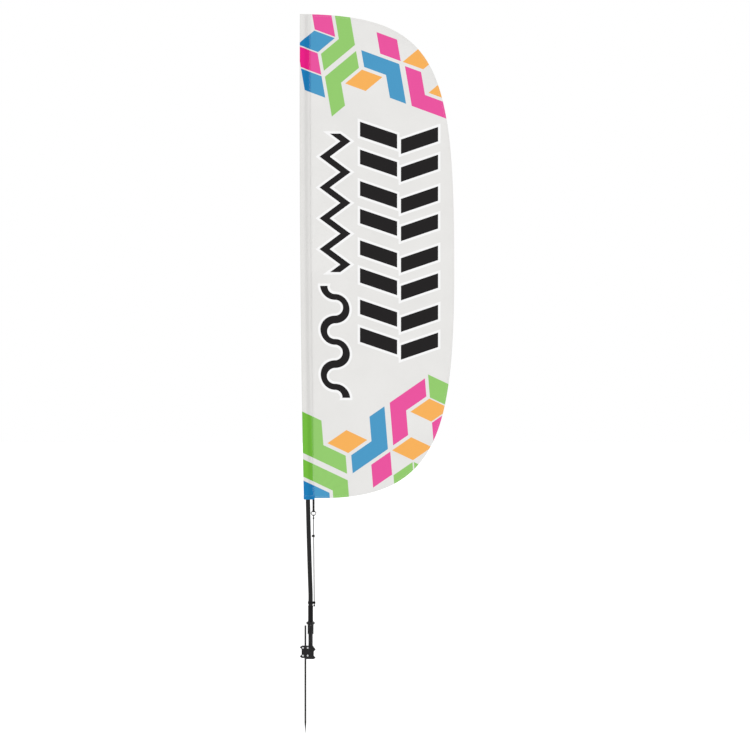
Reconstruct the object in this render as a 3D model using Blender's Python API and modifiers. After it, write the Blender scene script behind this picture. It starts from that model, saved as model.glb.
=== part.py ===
"""Feather flag on a swivelling pole, held by a ground spike.

A steel spike is pushed into the ground. Two bolted jaws grip it, and they also grip the stud of a
bearing housing. The spindle turns in that housing and carries the pole, which lifts off it. The
flag's sleeve hangs over the pole, and a short cord ties the sleeve's lower hem to the pole.

Everything is in metres, +Z up. The origin is on the spike's axis, where it leaves the ground.
The flag lies in the XZ plane, and its front faces -Y.
"""

import math

import bmesh
import bpy
from mathutils import Vector

MM = 0.001

# Clearances
GAP = 0.3 * MM  # between pieces that touch
RUNNING_GAP = 1.0 * MM  # between the housing and the flange that turns on it
SPLIT = 0.75 * MM  # half the gap between the two jaws

# Ground spike
SPIKE_RADIUS = 4.0 * MM
SPIKE_ABOVE_GROUND = 143 * MM
SPIKE_BELOW_GROUND = 315 * MM
SPIKE_POINT = 45 * MM

# Clamp jaws
JAW_HEIGHT = 57 * MM
JAW_DEPTH = 8 * MM  # from the split plane's middle to the flat outer face
EAR_REACH = 8 * MM  # how far the pointed corners stand out of the waist
SPIKE_WALL = 12.5 * MM  # from the spike to the waist on its side
STUD_WALL = 8 * MM  # from the stud to the waist on its side
BOSS_WALL = 4.5 * MM  # round the stud
JAW_CHAMFER = 0.8 * MM
BOLT_RADIUS = 2.5 * MM
BOLT_WALL = 3.5 * MM  # between the spike and the bolts beside it
BOLT_HEAD_RADIUS = 4.2 * MM
BOLT_HEAD_HEIGHT = 2.8 * MM
BOLT_EDGE = 15 * MM  # lower bolts above the jaws' underside
BOLT_RISE = 33 * MM  # lower bolts to upper bolts
BOLT_TAIL = 1.6 * MM  # thread that stands out of the nut
NUT_RADIUS = 4.6 * MM
NUT_HEIGHT = 4 * MM
WASHER_RADIUS = 5 * MM
WASHER_THICKNESS = 1 * MM
WASHER_CLEARANCE = 0.06 * MM  # between the washers and the boss

# Bearing housing
STUD_RADIUS = 6 * MM
NECK_RADIUS = 9.4 * MM
NECK_LENGTH = 49 * MM
HOUSING_WALL = 1.6 * MM
HOUSING_LENGTH = 38 * MM
HOUSING_FLOOR = 2.8 * MM
BEARING_RADIUS = 11 * MM  # standard 22 x 8 x 7 mm ball bearings
BEARING_BORE = 4.2 * MM
BEARING_WIDTH = 7 * MM
INNER_RING = 1.1 * MM  # radial thickness of the bearings' inner rings
OUTER_RING = 1.3 * MM
BALL_COUNT = 7
CAGE_THICKNESS = 1.0 * MM
CAGE_HEIGHT = 2.4 * MM
CLIP_THICKNESS = 1.2 * MM
CLIP_WIDTH = 1.8 * MM

# Spindle and flange
POST_CLEARANCE = 0.5 * MM  # between the post and the pole that slips over it
POST_LENGTH = 100 * MM  # above the flange
FLANGE_RADIUS = 19.5 * MM
FLANGE_HEIGHT = 15 * MM
FLANGE_TOP_RADIUS = 12 * MM
FLANGE_FOOT_RADIUS = 13.5 * MM

# Pole
LOWER_POLE_RADIUS = 9.5 * MM
POLE_WALL = 1.2 * MM
UPPER_TIP_SHARE = 0.65  # tip radius of the upper pole, as a share of its foot's
LOWER_POLE_LENGTH = 890 * MM
MIDDLE_POLE_SHOWN = 900 * MM
PLUG_LENGTH = 85 * MM  # how far one section goes into the next
FERRULE_WALL = 0.8 * MM
FERRULE_LENGTH = 40 * MM
BASE_SLEEVE_WALL = 1.2 * MM
BASE_SLEEVE_LENGTH = 66 * MM
TIP_CAP_WALL = 1.4 * MM
TIP_CAP_LENGTH = 24 * MM
POLE_BOW = 29 * MM  # the pole bows towards the hoist side
BOW_START = 270 * MM
BOW_SPAN = 1.72  # half waves of the bow along the pole
BOW_EASE = 0.015  # how soon the bow sets in
BOW_POWER = 0.8  # under 1, the lower part of the pole leans the most

# Flag
FLAG_TOP = 2741 * MM
FLAG_FOOT = 684 * MM
SLEEVE_FOOT = 678 * MM
HOIST_SLACK = 8 * MM  # lower pole to the hoist edge
SEAM_SLACK = 18.5 * MM  # lower pole to the seam
SLEEVE_SEAM_DEPTH = 1.6 * MM
SLEEVE_WALL = 0.7 * MM
SLEEVE_SLACK = 0.6 * MM  # round the largest ferrule
PANEL_THICKNESS = 1.0 * MM
FLY_X = 632 * MM  # the widest point of the fly edge
FLY_Z = 1670 * MM
FLY_TOP_START = -40 * MM
FLY_TOP_PULL = 605 * MM
FLY_UPPER_PULL = 868 * MM
FLY_LOWER_PULL = 675 * MM
FLY_FOOT_START = 76 * MM
FLY_FOOT_PULL = 502 * MM
POCKET_WALL = 0.9 * MM
POCKET_DEPTH = 40 * MM

# Tether
STRAP_WIDTH = 9 * MM
STRAP_THICKNESS = 1.2 * MM
STRAP_SEWN = 28 * MM  # length sewn behind the sleeve
RING_CLEARANCE = 0.82 * MM  # between the ring and the pole
RING_HALF_WIDTH = 10.5 * MM
RING_HALF_HEIGHT = 12.1 * MM
RING_WIRE = 1.7 * MM
RING_DROP = 58 * MM  # ring's middle below the sleeve
RING_POWER = 1.25  # 1 is a diamond and 2 an ellipse
CORD_RADIUS = 2.0 * MM
CORD_LOOP_RADIUS = 4.8 * MM
KNOT_RADIUS = 4.0 * MM
KNOT_HEIGHT = 9 * MM
BAND_HEIGHT = 10 * MM
BAND_WALL = 1.8 * MM
BAND_GAP = 8 * MM  # above the base sleeve
LUG_RADIUS = 5 * MM
STOP_Z = 523 * MM
STOP_HEIGHT = 10 * MM
STOP_RADIUS = 4.6 * MM
STOP_NOSE = 7.5 * MM
STOP_NOSE_WIDTH = 4 * MM

# Smoothness
SIDES_LARGE = 32
SIDES_SMALL = 16
POLE_SIDES = 6  # bevel resolution of the pole tubes
POLE_STEP = 100 * MM
SLEEVE_STEP = 90 * MM
MERGE = 0.00001

# Places across the clamp that follow from the sizes above
BOSS_SIDES = 24
BOSS_REACH = (STUD_RADIUS + BOSS_WALL) / math.cos(math.pi / BOSS_SIDES)  # to its corners
BOSS_HALF = math.sqrt(BOSS_REACH**2 - JAW_DEPTH**2)  # where the boss leaves the plate
BOLT_X = SPIKE_RADIUS + BOLT_WALL + BOLT_RADIUS
SWIVEL_X = BOLT_X + WASHER_RADIUS + WASHER_CLEARANCE + BOSS_HALF

# Radii that follow from the sizes above
SHAFT_RADIUS = BEARING_BORE - GAP
INNER_RACE = BEARING_BORE + INNER_RING
OUTER_RACE = BEARING_RADIUS - OUTER_RING
BALL_RADIUS = (OUTER_RACE - INNER_RACE) / 2 - GAP
POST_RADIUS = LOWER_POLE_RADIUS - POLE_WALL - POST_CLEARANCE
MIDDLE_POLE_RADIUS = LOWER_POLE_RADIUS - POLE_WALL - GAP
UPPER_POLE_RADIUS = MIDDLE_POLE_RADIUS - POLE_WALL - GAP
SLEEVE_HOIST = LOWER_POLE_RADIUS + HOIST_SLACK
SLEEVE_SEAM = LOWER_POLE_RADIUS + SEAM_SLACK

# Heights that follow from the sizes above
NECK_FOOT = JAW_HEIGHT + GAP
HOUSING_FOOT = NECK_FOOT + NECK_LENGTH
HOUSING_TOP = HOUSING_FOOT + HOUSING_LENGTH
CLIP_CHAMBER = HOUSING_FOOT + HOUSING_FLOOR
LOWER_BEARING_Z = CLIP_CHAMBER + 3.6 * MM
UPPER_BEARING_Z = HOUSING_TOP - 4.3 * MM - BEARING_WIDTH
FLANGE_FOOT = HOUSING_TOP + RUNNING_GAP
FLANGE_TOP = FLANGE_FOOT + FLANGE_HEIGHT
POST_TOP = FLANGE_TOP + POST_LENGTH
POLE_FOOT = FLANGE_TOP + GAP
LOWER_POLE_TOP = POLE_FOOT + LOWER_POLE_LENGTH
MIDDLE_POLE_TOP = LOWER_POLE_TOP + MIDDLE_POLE_SHOWN
POCKET_TOP = FLAG_TOP - SLEEVE_WALL - 3 * MM
CAP_TOP = POCKET_TOP - POCKET_WALL - GAP
UPPER_POLE_TOP = CAP_TOP - TIP_CAP_WALL - GAP
RING_Z = SLEEVE_FOOT - RING_DROP
BAND_Z = POLE_FOOT + BASE_SLEEVE_LENGTH + BAND_GAP
CORD_TOP = RING_Z - RING_HALF_HEIGHT - CORD_LOOP_RADIUS - CORD_RADIUS - KNOT_HEIGHT + 2 * MM
CORD_FOOT = BAND_Z - 2.5 * MM
LUG_X = SWIVEL_X + LOWER_POLE_RADIUS + GAP + BASE_SLEEVE_WALL + GAP + KNOT_RADIUS + 0.4 * MM

for old in list(bpy.data.objects):
    bpy.data.objects.remove(old, do_unlink=True)

parts = bpy.data.collections.new("feather_flag")
cutters = bpy.data.collections.new("cutters")
bpy.context.scene.collection.children.link(parts)
bpy.context.scene.collection.children.link(cutters)


# ---------------------------------------------------------------- materials


def finish(name, colour, roughness, metallic=0.0):
    """A plain material of one finish."""
    material = bpy.data.materials.new(name)
    material.use_nodes = True
    shader = material.node_tree.nodes["Principled BSDF"]
    shader.inputs["Base Color"].default_value = (*colour, 1.0)
    shader.inputs["Roughness"].default_value = roughness
    shader.inputs["Metallic"].default_value = metallic
    material.diffuse_color = (*colour, 1.0)
    return material


BLACK_STEEL = finish("black_steel", (0.020, 0.020, 0.021), 0.45, 0.6)
BLACK_CASTING = finish("black_casting", (0.026, 0.026, 0.028), 0.55)
BLACK_TUBE = finish("black_tube", (0.016, 0.016, 0.017), 0.32)
BLACK_PLASTIC = finish("black_plastic", (0.022, 0.022, 0.023), 0.5)
BLACK_WEBBING = finish("black_webbing", (0.018, 0.018, 0.019), 0.85)
BRIGHT_ZINC = finish("bright_zinc", (0.62, 0.63, 0.64), 0.3, 1.0)
BEARING_STEEL = finish("bearing_steel", (0.55, 0.56, 0.57), 0.2, 1.0)
WHITE_KNIT = finish("white_knit", (0.80, 0.79, 0.78), 0.8)
SLEEVE_KNIT = finish("sleeve_knit", (0.74, 0.73, 0.72), 0.85)
BLACK_CORD = finish("black_cord", (0.015, 0.015, 0.016), 0.8)


# ---------------------------------------------------------------- modelling helpers


def add_part(name, data, material, location=(0, 0, 0), collection=None):
    """A new object in the parts collection."""
    item = bpy.data.objects.new(name, data)
    item.location = location
    if material:
        data.materials.clear()
        data.materials.append(material)
    (collection or parts).objects.link(item)
    return item


def shade_round(mesh, angle=35):
    mesh.shade_smooth()
    mesh.set_sharp_from_angle(angle=math.radians(angle))


def turned(name, profile, material, sides=SIDES_LARGE, at=(SWIVEL_X, 0, 0), ring=False):
    """A turned piece. The profile is (radius, height) points, down the outer side.

    A ring's profile is a closed loop that stays clear of the axis.
    """
    mesh = bpy.data.meshes.new(name)
    shape = bmesh.new()
    points = [shape.verts.new((radius, 0, height)) for radius, height in profile]
    for first, second in zip(points, points[1:]):
        shape.edges.new((first, second))
    if ring:
        shape.edges.new((points[-1], points[0]))
    shape.to_mesh(mesh)
    shape.free()
    item = add_part(name, mesh, material, at)
    screw = item.modifiers.new("turn", "SCREW")
    screw.steps = sides
    screw.render_steps = sides
    screw.use_merge_vertices = True
    screw.merge_threshold = MERGE
    screw.use_smooth_shade = True
    return item


def ring(name, inner, outer, foot, top, material, sides=SIDES_LARGE, at=(SWIVEL_X, 0, 0)):
    """A plain ring with square edges."""
    profile = [(inner, top), (outer, top), (outer, foot), (inner, foot)]
    return turned(name, profile, material, sides, at, ring=True)


def flat_plate(name, outlines, thickness, material, location=(0, 0, 0), upright=False):
    """A plate from closed outlines, the inner ones being holes.

    A level plate takes its outlines in X and Y, and rises from its location. An upright plate
    takes them in X and Z, and its middle is at its location.
    """
    curve = bpy.data.curves.new(name, "CURVE")
    curve.dimensions = "2D"
    curve.fill_mode = "BOTH"
    curve.extrude = thickness / 2
    for outline in outlines:
        spline = curve.splines.new("POLY")
        spline.points.add(len(outline) - 1)
        for point, (x, y) in zip(spline.points, outline):
            point.co = (x, y, 0, 1)
        spline.use_cyclic_u = True
    x, y, z = location
    item = add_part(name, curve, material, (x, y, z if upright else z + thickness / 2))
    if upright:
        item.rotation_euler.x = math.pi / 2
    return item


def as_mesh(item):
    """The same object with its curve made a mesh, welded where its caps meet its sides."""
    bpy.context.view_layer.update()
    evaluated = item.evaluated_get(bpy.context.evaluated_depsgraph_get())
    mesh = bpy.data.meshes.new_from_object(evaluated)
    shape = bmesh.new()
    shape.from_mesh(mesh)
    bmesh.ops.remove_doubles(shape, verts=shape.verts, dist=MERGE)
    shape.to_mesh(mesh)
    shape.free()
    name = item.name
    material = item.data.materials[0] if item.data.materials else None
    place = item.matrix_world.copy()
    bpy.data.objects.remove(item, do_unlink=True)
    made = add_part(name, mesh, material)
    made.matrix_world = place
    return made


def circle(x, y, radius, sides=SIDES_SMALL):
    """Points round a circle whose flats are at the given radius."""
    reach = radius / math.cos(math.pi / sides)
    turns = [2 * math.pi * (step + 0.5) / sides for step in range(sides)]
    return [(x + reach * math.cos(turn), y + reach * math.sin(turn)) for turn in turns]


def cutter(name, mesh_maker, location=(0, 0, 0), rotation=(0, 0, 0)):
    """A hidden object that other pieces are cut with."""
    mesh = bpy.data.meshes.new(name)
    shape = bmesh.new()
    mesh_maker(shape)
    shape.to_mesh(mesh)
    shape.free()
    item = add_part(name, mesh, None, location, cutters)
    item.rotation_euler = rotation
    item.hide_render = True
    item.display_type = "WIRE"
    return item


def rod(shape, radius, length, sides=SIDES_SMALL):
    """A cylinder whose flats are at the given radius."""
    reach = radius / math.cos(math.pi / sides)
    bmesh.ops.create_cone(
        shape, cap_ends=True, segments=sides, radius1=reach, radius2=reach, depth=length
    )


def cut(item, tool, operation="DIFFERENCE"):
    step = item.modifiers.new(tool.name, "BOOLEAN")
    step.operation = operation
    step.solver = "EXACT"
    step.object = tool


def bevelled_curve(name, points, radius, resolution, closed=False, capped=True, scale=None):
    """A round bar along points, as a curve."""
    curve = bpy.data.curves.new(name, "CURVE")
    curve.dimensions = "3D"
    curve.bevel_depth = radius
    curve.bevel_resolution = resolution
    curve.use_fill_caps = capped and not closed
    spline = curve.splines.new("POLY")
    spline.points.add(len(points) - 1)
    for index, (point, place) in enumerate(zip(spline.points, points)):
        point.co = (*place, 1)
        if scale:
            point.radius = scale(index / (len(points) - 1))
    spline.use_cyclic_u = closed
    return curve


# ---------------------------------------------------------------- the pole's line


def pole_x(z):
    """X of the pole's axis at a height. It is upright at its foot and bows gently above it."""
    share = max(0.0, (z - BOW_START) / (FLAG_TOP - BOW_START))
    eased = (share * share / (share + BOW_EASE)) ** BOW_POWER if share else 0.0
    return SWIVEL_X - POLE_BOW * math.sin(math.pi * eased / BOW_SPAN)


TETHER_X = pole_x(RING_Z) + LOWER_POLE_RADIUS + RING_CLEARANCE + RING_WIRE + RING_HALF_WIDTH


def heights(low, high, step):
    """Evenly spaced heights from low to high, about a step apart."""
    count = max(2, math.ceil((high - low) / step) + 1)
    return [low + (high - low) * index / (count - 1) for index in range(count)]


def pole_line(low, high, step=POLE_STEP):
    return [Vector((pole_x(z), 0, z)) for z in heights(low, high, step)]


def pole_tube(name, low, high, outer, wall, material, step=POLE_STEP):
    """An open tube along the pole's line."""
    curve = bevelled_curve(name, pole_line(low, high, step), outer, POLE_SIDES, capped=False)
    item = as_mesh(add_part(name, curve, material))
    skin = item.modifiers.new("wall", "SOLIDIFY")
    skin.thickness = wall
    skin.offset = -1
    skin.use_even_offset = True
    shade_round(item.data)
    return item


# ---------------------------------------------------------------- ground spike and clamp


def make_spike():
    point = SPIKE_BELOW_GROUND - SPIKE_POINT
    profile = [
        (0, SPIKE_ABOVE_GROUND),
        (SPIKE_RADIUS - 1 * MM, SPIKE_ABOVE_GROUND),
        (SPIKE_RADIUS, SPIKE_ABOVE_GROUND - 1 * MM),
        (SPIKE_RADIUS, -point),
        (0.5 * MM, -SPIKE_BELOW_GROUND + 1 * MM),
        (0, -SPIKE_BELOW_GROUND),
    ]
    turned("ground_spike", profile, BLACK_STEEL, sides=24, at=(0, 0, 0))


def jaw_outline():
    """The jaws' front view: four pointed ears round a waist, lower on the stud's side."""
    left = -SPIKE_RADIUS - SPIKE_WALL
    right = SWIVEL_X + STUD_RADIUS + STUD_WALL
    step = 4.5 * MM
    ear_rise = 7 * MM
    return [
        (left - EAR_REACH, JAW_HEIGHT - ear_rise),
        (left + 1 * MM, JAW_HEIGHT),
        (SWIVEL_X + NECK_RADIUS, JAW_HEIGHT),
        (right + EAR_REACH, JAW_HEIGHT - 2.4 * ear_rise),
        (right, JAW_HEIGHT - 3.4 * ear_rise),
        (right, 2 * ear_rise),
        (right + EAR_REACH, 0.7 * ear_rise),
        (right - 1 * MM, 0),
        (SPIKE_RADIUS, 0),
        (-SPIKE_RADIUS, step),
        (left + 1 * MM, step),
        (left - EAR_REACH, step + ear_rise),
        (left, step + 2 * ear_rise),
        (left, JAW_HEIGHT - 2 * ear_rise),
    ]


def bolt_places():
    """X and Z of the four clamp bolts."""
    return [(x, BOLT_EDGE + rise) for rise in (0, BOLT_RISE) for x in (-BOLT_X, BOLT_X)]


def half_boss(side):
    """A maker for the half-round boss that a jaw has round the stud."""
    height = JAW_HEIGHT - 4 * BOSS_WALL
    root = side * (JAW_DEPTH - 1 * MM)  # just inside the plate's outer face

    def make(shape):
        rod(shape, STUD_RADIUS + BOSS_WALL, height, BOSS_SIDES)
        everything = shape.verts[:] + shape.edges[:] + shape.faces[:]
        bmesh.ops.bisect_plane(
            shape, geom=everything, plane_co=(0, root, 0), plane_no=(0, -side, 0), clear_outer=True
        )
        bmesh.ops.holes_fill(shape, edges=shape.edges[:], sides=0)

    return make


def make_jaw(name, side):
    """One clamp jaw. The front one has side -1 and the back one side +1."""
    thickness = JAW_DEPTH - SPLIT
    middle = side * (SPLIT + thickness / 2)
    plate = flat_plate(
        name, [jaw_outline()], thickness, BLACK_CASTING, (0, middle, 0), upright=True
    )
    jaw = as_mesh(plate)
    chamfer = jaw.modifiers.new("chamfer", "BEVEL")
    chamfer.width = JAW_CHAMFER
    chamfer.segments = 1
    boss = cutter(
        f"{name}_boss", half_boss(side), (SWIVEL_X, 0, JAW_HEIGHT / 2 - BOSS_WALL / 2)
    )
    cut(jaw, boss, "UNION")
    for label, x, radius in (("spike", 0, SPIKE_RADIUS), ("stud", SWIVEL_X, STUD_RADIUS)):
        bore = cutter(
            f"{name}_{label}_bore",
            lambda shape, radius=radius: rod(shape, radius + GAP, 3 * JAW_HEIGHT, 24),
            (x, 0, JAW_HEIGHT / 2),
        )
        cut(jaw, bore)
    for number, (x, z) in enumerate(bolt_places(), 1):
        hole = cutter(
            f"{name}_hole_{number}",
            lambda shape: rod(shape, BOLT_RADIUS + GAP, 4 * JAW_DEPTH),
            (x, 0, z),
            (math.pi / 2, 0, 0),
        )
        cut(jaw, hole)


def make_clamp_bolts():
    """Four bolts with round heads at the front, and a washer and a nut behind."""
    head = JAW_DEPTH + GAP
    washer = JAW_DEPTH + GAP
    nut = washer + WASHER_THICKNESS + GAP
    tail = nut + NUT_HEIGHT + BOLT_TAIL
    bolt_profile = [
        (0, head + BOLT_HEAD_HEIGHT),
        (BOLT_HEAD_RADIUS * 0.6, head + BOLT_HEAD_HEIGHT),
        (BOLT_HEAD_RADIUS, head + BOLT_HEAD_HEIGHT * 0.45),
        (BOLT_HEAD_RADIUS, head),
        (BOLT_RADIUS, head),
        (BOLT_RADIUS, -tail + 0.6 * MM),
        (BOLT_RADIUS - 0.6 * MM, -tail),
        (0, -tail),
    ]
    hexagon = [
        (NUT_RADIUS * math.cos(turn * math.pi / 3), NUT_RADIUS * math.sin(turn * math.pi / 3))
        for turn in range(6)
    ]
    for number, (x, z) in enumerate(bolt_places(), 1):
        bolt = turned(f"clamp_bolt_{number}", bolt_profile, BRIGHT_ZINC, 12, (x, 0, z))
        bolt.rotation_euler.x = math.pi / 2
        for name, outline, start, thickness in (
            ("clamp_washer", circle(0, 0, WASHER_RADIUS), washer, WASHER_THICKNESS),
            ("clamp_nut", hexagon, nut, NUT_HEIGHT),
        ):
            hole = circle(0, 0, BOLT_RADIUS + GAP, 12)
            place = (x, start + thickness / 2, z)
            flat_plate(
                f"{name}_{number}", [outline, hole], thickness, BRIGHT_ZINC, place, upright=True
            )


# ---------------------------------------------------------------- swivel


def make_housing():
    """A stud for the jaws, a neck on them, and a cup for the two bearings."""
    seat = BEARING_RADIUS + GAP
    outer = seat + HOUSING_WALL
    profile = [
        (0, CLIP_CHAMBER),
        (OUTER_RACE, CLIP_CHAMBER),
        (OUTER_RACE, LOWER_BEARING_Z - GAP),
        (seat, LOWER_BEARING_Z - GAP),
        (seat, HOUSING_TOP),
        (outer - 0.6 * MM, HOUSING_TOP),
        (outer, HOUSING_TOP - 0.6 * MM),
        (outer, HOUSING_FOOT + 1.5 * MM),
        (outer - 1.5 * MM, HOUSING_FOOT),
        (NECK_RADIUS, HOUSING_FOOT),
        (NECK_RADIUS, NECK_FOOT),
        (STUD_RADIUS, NECK_FOOT),
        (STUD_RADIUS, 2 * MM),
        (STUD_RADIUS - 1 * MM, 1 * MM),
        (0, 1 * MM),
    ]
    turned("swivel_housing", profile, BLACK_STEEL)


def make_bearing(name, foot):
    """A ball bearing: outer ring, inner ring, and a cage that holds the balls."""
    top = foot + BEARING_WIDTH
    ring(f"{name}_outer_ring", OUTER_RACE, BEARING_RADIUS, foot, top, BEARING_STEEL)
    ring(f"{name}_inner_ring", BEARING_BORE, INNER_RACE, foot, top, BEARING_STEEL)
    pitch = (INNER_RACE + OUTER_RACE) / 2
    middle = foot + BEARING_WIDTH / 2
    cage = ring(
        f"{name}_cage",
        pitch - CAGE_THICKNESS / 2,
        pitch + CAGE_THICKNESS / 2,
        -CAGE_HEIGHT / 2,
        CAGE_HEIGHT / 2,
        BEARING_STEEL,
        sides=28,
        at=(SWIVEL_X, 0, middle),
    )
    for number in range(BALL_COUNT):
        turn = 2 * math.pi * number / BALL_COUNT
        place = (SWIVEL_X + pitch * math.cos(turn), pitch * math.sin(turn), middle)
        ball = cutter(
            f"{name}_ball_{number}",
            lambda shape: bmesh.ops.create_icosphere(shape, subdivisions=1, radius=BALL_RADIUS),
            place,
        )
        cut(cage, ball, "UNION")


def make_bearings():
    make_bearing("lower_bearing", LOWER_BEARING_Z)
    make_bearing("upper_bearing", UPPER_BEARING_Z)
    foot = LOWER_BEARING_Z + BEARING_WIDTH + GAP
    ring("bearing_spacer", OUTER_RACE, BEARING_RADIUS, foot, UPPER_BEARING_Z - GAP, BRIGHT_ZINC)


def make_spindle():
    """The shaft in the bearings, and the post that the pole stands over."""
    clip_foot = LOWER_BEARING_Z - GAP - CLIP_THICKNESS
    profile = [
        (0, POST_TOP),
        (POST_RADIUS - 2 * MM, POST_TOP),
        (POST_RADIUS, POST_TOP - 3 * MM),
        (POST_RADIUS, FLANGE_FOOT),
        (SHAFT_RADIUS, FLANGE_FOOT),
        (SHAFT_RADIUS, clip_foot - 0.8 * MM),
        (0, clip_foot - 0.8 * MM),
    ]
    turned("spindle", profile, BLACK_STEEL)
    clip_top = clip_foot + CLIP_THICKNESS
    ring("spindle_clip", BEARING_BORE, BEARING_BORE + CLIP_WIDTH, clip_foot, clip_top, BRIGHT_ZINC)
    washer_foot = UPPER_BEARING_Z + BEARING_WIDTH + GAP
    ring("thrust_washer", BEARING_BORE, POST_RADIUS, washer_foot, FLANGE_FOOT - GAP, BRIGHT_ZINC)


def make_flange():
    """The collar that the pole stands on, with a sharp rim and a conical underside."""
    bore = POST_RADIUS + GAP
    rim = FLANGE_FOOT + 0.52 * FLANGE_HEIGHT
    profile = [
        (bore, FLANGE_TOP),
        (FLANGE_TOP_RADIUS, FLANGE_TOP),
        (FLANGE_RADIUS, rim + 0.9 * MM),
        (FLANGE_RADIUS, rim - 0.9 * MM),
        (FLANGE_FOOT_RADIUS, FLANGE_FOOT + 1.2 * MM),
        (FLANGE_FOOT_RADIUS, FLANGE_FOOT),
        (bore, FLANGE_FOOT),
    ]
    turned("swivel_flange", profile, BLACK_STEEL, ring=True)


# ---------------------------------------------------------------- pole


def make_poles():
    for name, foot, top, radius in (
        ("lower_pole", POLE_FOOT, LOWER_POLE_TOP, LOWER_POLE_RADIUS),
        ("middle_pole", LOWER_POLE_TOP - PLUG_LENGTH, MIDDLE_POLE_TOP, MIDDLE_POLE_RADIUS),
    ):
        pole_tube(name, foot, top, radius, POLE_WALL, BLACK_TUBE)
    upper_foot = MIDDLE_POLE_TOP - PLUG_LENGTH
    curve = bevelled_curve(
        "upper_pole",
        pole_line(upper_foot, UPPER_POLE_TOP),
        UPPER_POLE_RADIUS,
        2,
        scale=lambda share: 1 - (1 - UPPER_TIP_SHARE) * share,
    )
    add_part("upper_pole", curve, BLACK_TUBE)


def make_ferrules():
    """Thin collars that stop the two sockets from splitting."""
    for name, top, radius in (
        ("lower_ferrule", LOWER_POLE_TOP, LOWER_POLE_RADIUS),
        ("upper_ferrule", MIDDLE_POLE_TOP, MIDDLE_POLE_RADIUS),
    ):
        outer = radius + GAP + FERRULE_WALL
        pole_tube(name, top - FERRULE_LENGTH, top, outer, FERRULE_WALL, BRIGHT_ZINC, 0.01)


def make_pole_ends():
    inner = LOWER_POLE_RADIUS + GAP
    top = POLE_FOOT + BASE_SLEEVE_LENGTH
    ring("pole_base_sleeve", inner, inner + BASE_SLEEVE_WALL, POLE_FOOT, top, BLACK_PLASTIC)
    bore = UPPER_POLE_RADIUS * UPPER_TIP_SHARE + 2 * GAP
    cap_outer = bore + TIP_CAP_WALL
    make_cup("pole_tip_cap", bore, cap_outer, CAP_TOP - TIP_CAP_LENGTH, CAP_TOP, BLACK_PLASTIC)
    pocket_bore = cap_outer + 2 * GAP
    make_cup(
        "sleeve_top_pocket",
        pocket_bore,
        pocket_bore + POCKET_WALL,
        POCKET_TOP - POCKET_DEPTH,
        POCKET_TOP,
        BLACK_WEBBING,
    )


def make_cup(name, bore, outer, foot, top, material):
    """A cup upside down over the pole's tip."""
    roof = top - (outer - bore)
    profile = [
        (0, top),
        (outer - 1 * MM, top),
        (outer, top - 1 * MM),
        (outer, foot),
        (bore, foot),
        (bore, roof),
        (0, roof),
    ]
    turned(name, profile, material, SIDES_SMALL + 8, (pole_x(top), 0, 0))


# ---------------------------------------------------------------- flag


def cubic(start, pull_start, pull_end, end, steps):
    """Points along a cubic curve, without its last one."""
    points = []
    for index in range(steps):
        t = index / steps
        weights = ((1 - t) ** 3, 3 * t * (1 - t) ** 2, 3 * t * t * (1 - t), t**3)
        corners = (start, pull_start, pull_end, end)
        points.append(sum((Vector(corner) * w for corner, w in zip(corners, weights)), Vector((0, 0))))
    return points


def fly_edge(steps=22):
    """The flag's free edge, from the top edge round the fly to the foot, in X and Z."""
    widest = (FLY_X, FLY_Z)
    upper = cubic(
        (FLY_TOP_START, FLAG_TOP),
        (FLY_TOP_START + FLY_TOP_PULL, FLAG_TOP),
        (FLY_X, FLY_Z + FLY_UPPER_PULL),
        widest,
        steps,
    )
    lower = cubic(
        widest,
        (FLY_X, FLY_Z - FLY_LOWER_PULL),
        (FLY_FOOT_START + FLY_FOOT_PULL, FLAG_FOOT),
        (FLY_FOOT_START, FLAG_FOOT),
        steps,
    )
    return [*upper, *lower, Vector((FLY_FOOT_START, FLAG_FOOT))]


def make_panel():
    """The single layer of the flag, from the sleeve's seam to the fly."""
    def seam(z):
        return pole_x(z) + SLEEVE_SEAM + GAP

    hoist = [(seam(z), z) for z in heights(FLAG_FOOT, FLAG_TOP, SLEEVE_STEP)]
    clear = seam(FLAG_TOP) + 5 * MM
    fly = [tuple(point) for point in fly_edge() if point.x > clear]
    flat_plate("flag_panel", [hoist + fly], PANEL_THICKNESS, WHITE_KNIT, upright=True)


def sleeve_depth(z):
    """Half the sleeve's depth at the pole, less towards the thinner top of the pole."""
    share = (z - SLEEVE_FOOT) / (FLAG_TOP - SLEEVE_FOOT)
    around = GAP + FERRULE_WALL + SLEEVE_SLACK + SLEEVE_WALL
    low = LOWER_POLE_RADIUS + around
    high = MIDDLE_POLE_RADIUS + around
    return low + (high - low) * share


def sleeve_section(z):
    """A drop-shaped section round the pole, pinched towards the seam, in order round it."""
    depth = sleeve_depth(z)
    seam = SLEEVE_SEAM
    pinch = SLEEVE_SEAM_DEPTH
    half = []
    for turn in (180, 150, 120, 90, 65):
        angle = math.radians(turn)
        reach = SLEEVE_HOIST if turn > 90 else SLEEVE_HOIST * 0.6
        half.append((reach * math.cos(angle), depth * math.sin(angle)))
    half.append((seam * 0.62, depth * 0.52))
    half.append((seam, pinch))
    mirrored = [(x, -y) for x, y in reversed(half[1:])]
    return half + mirrored


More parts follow.
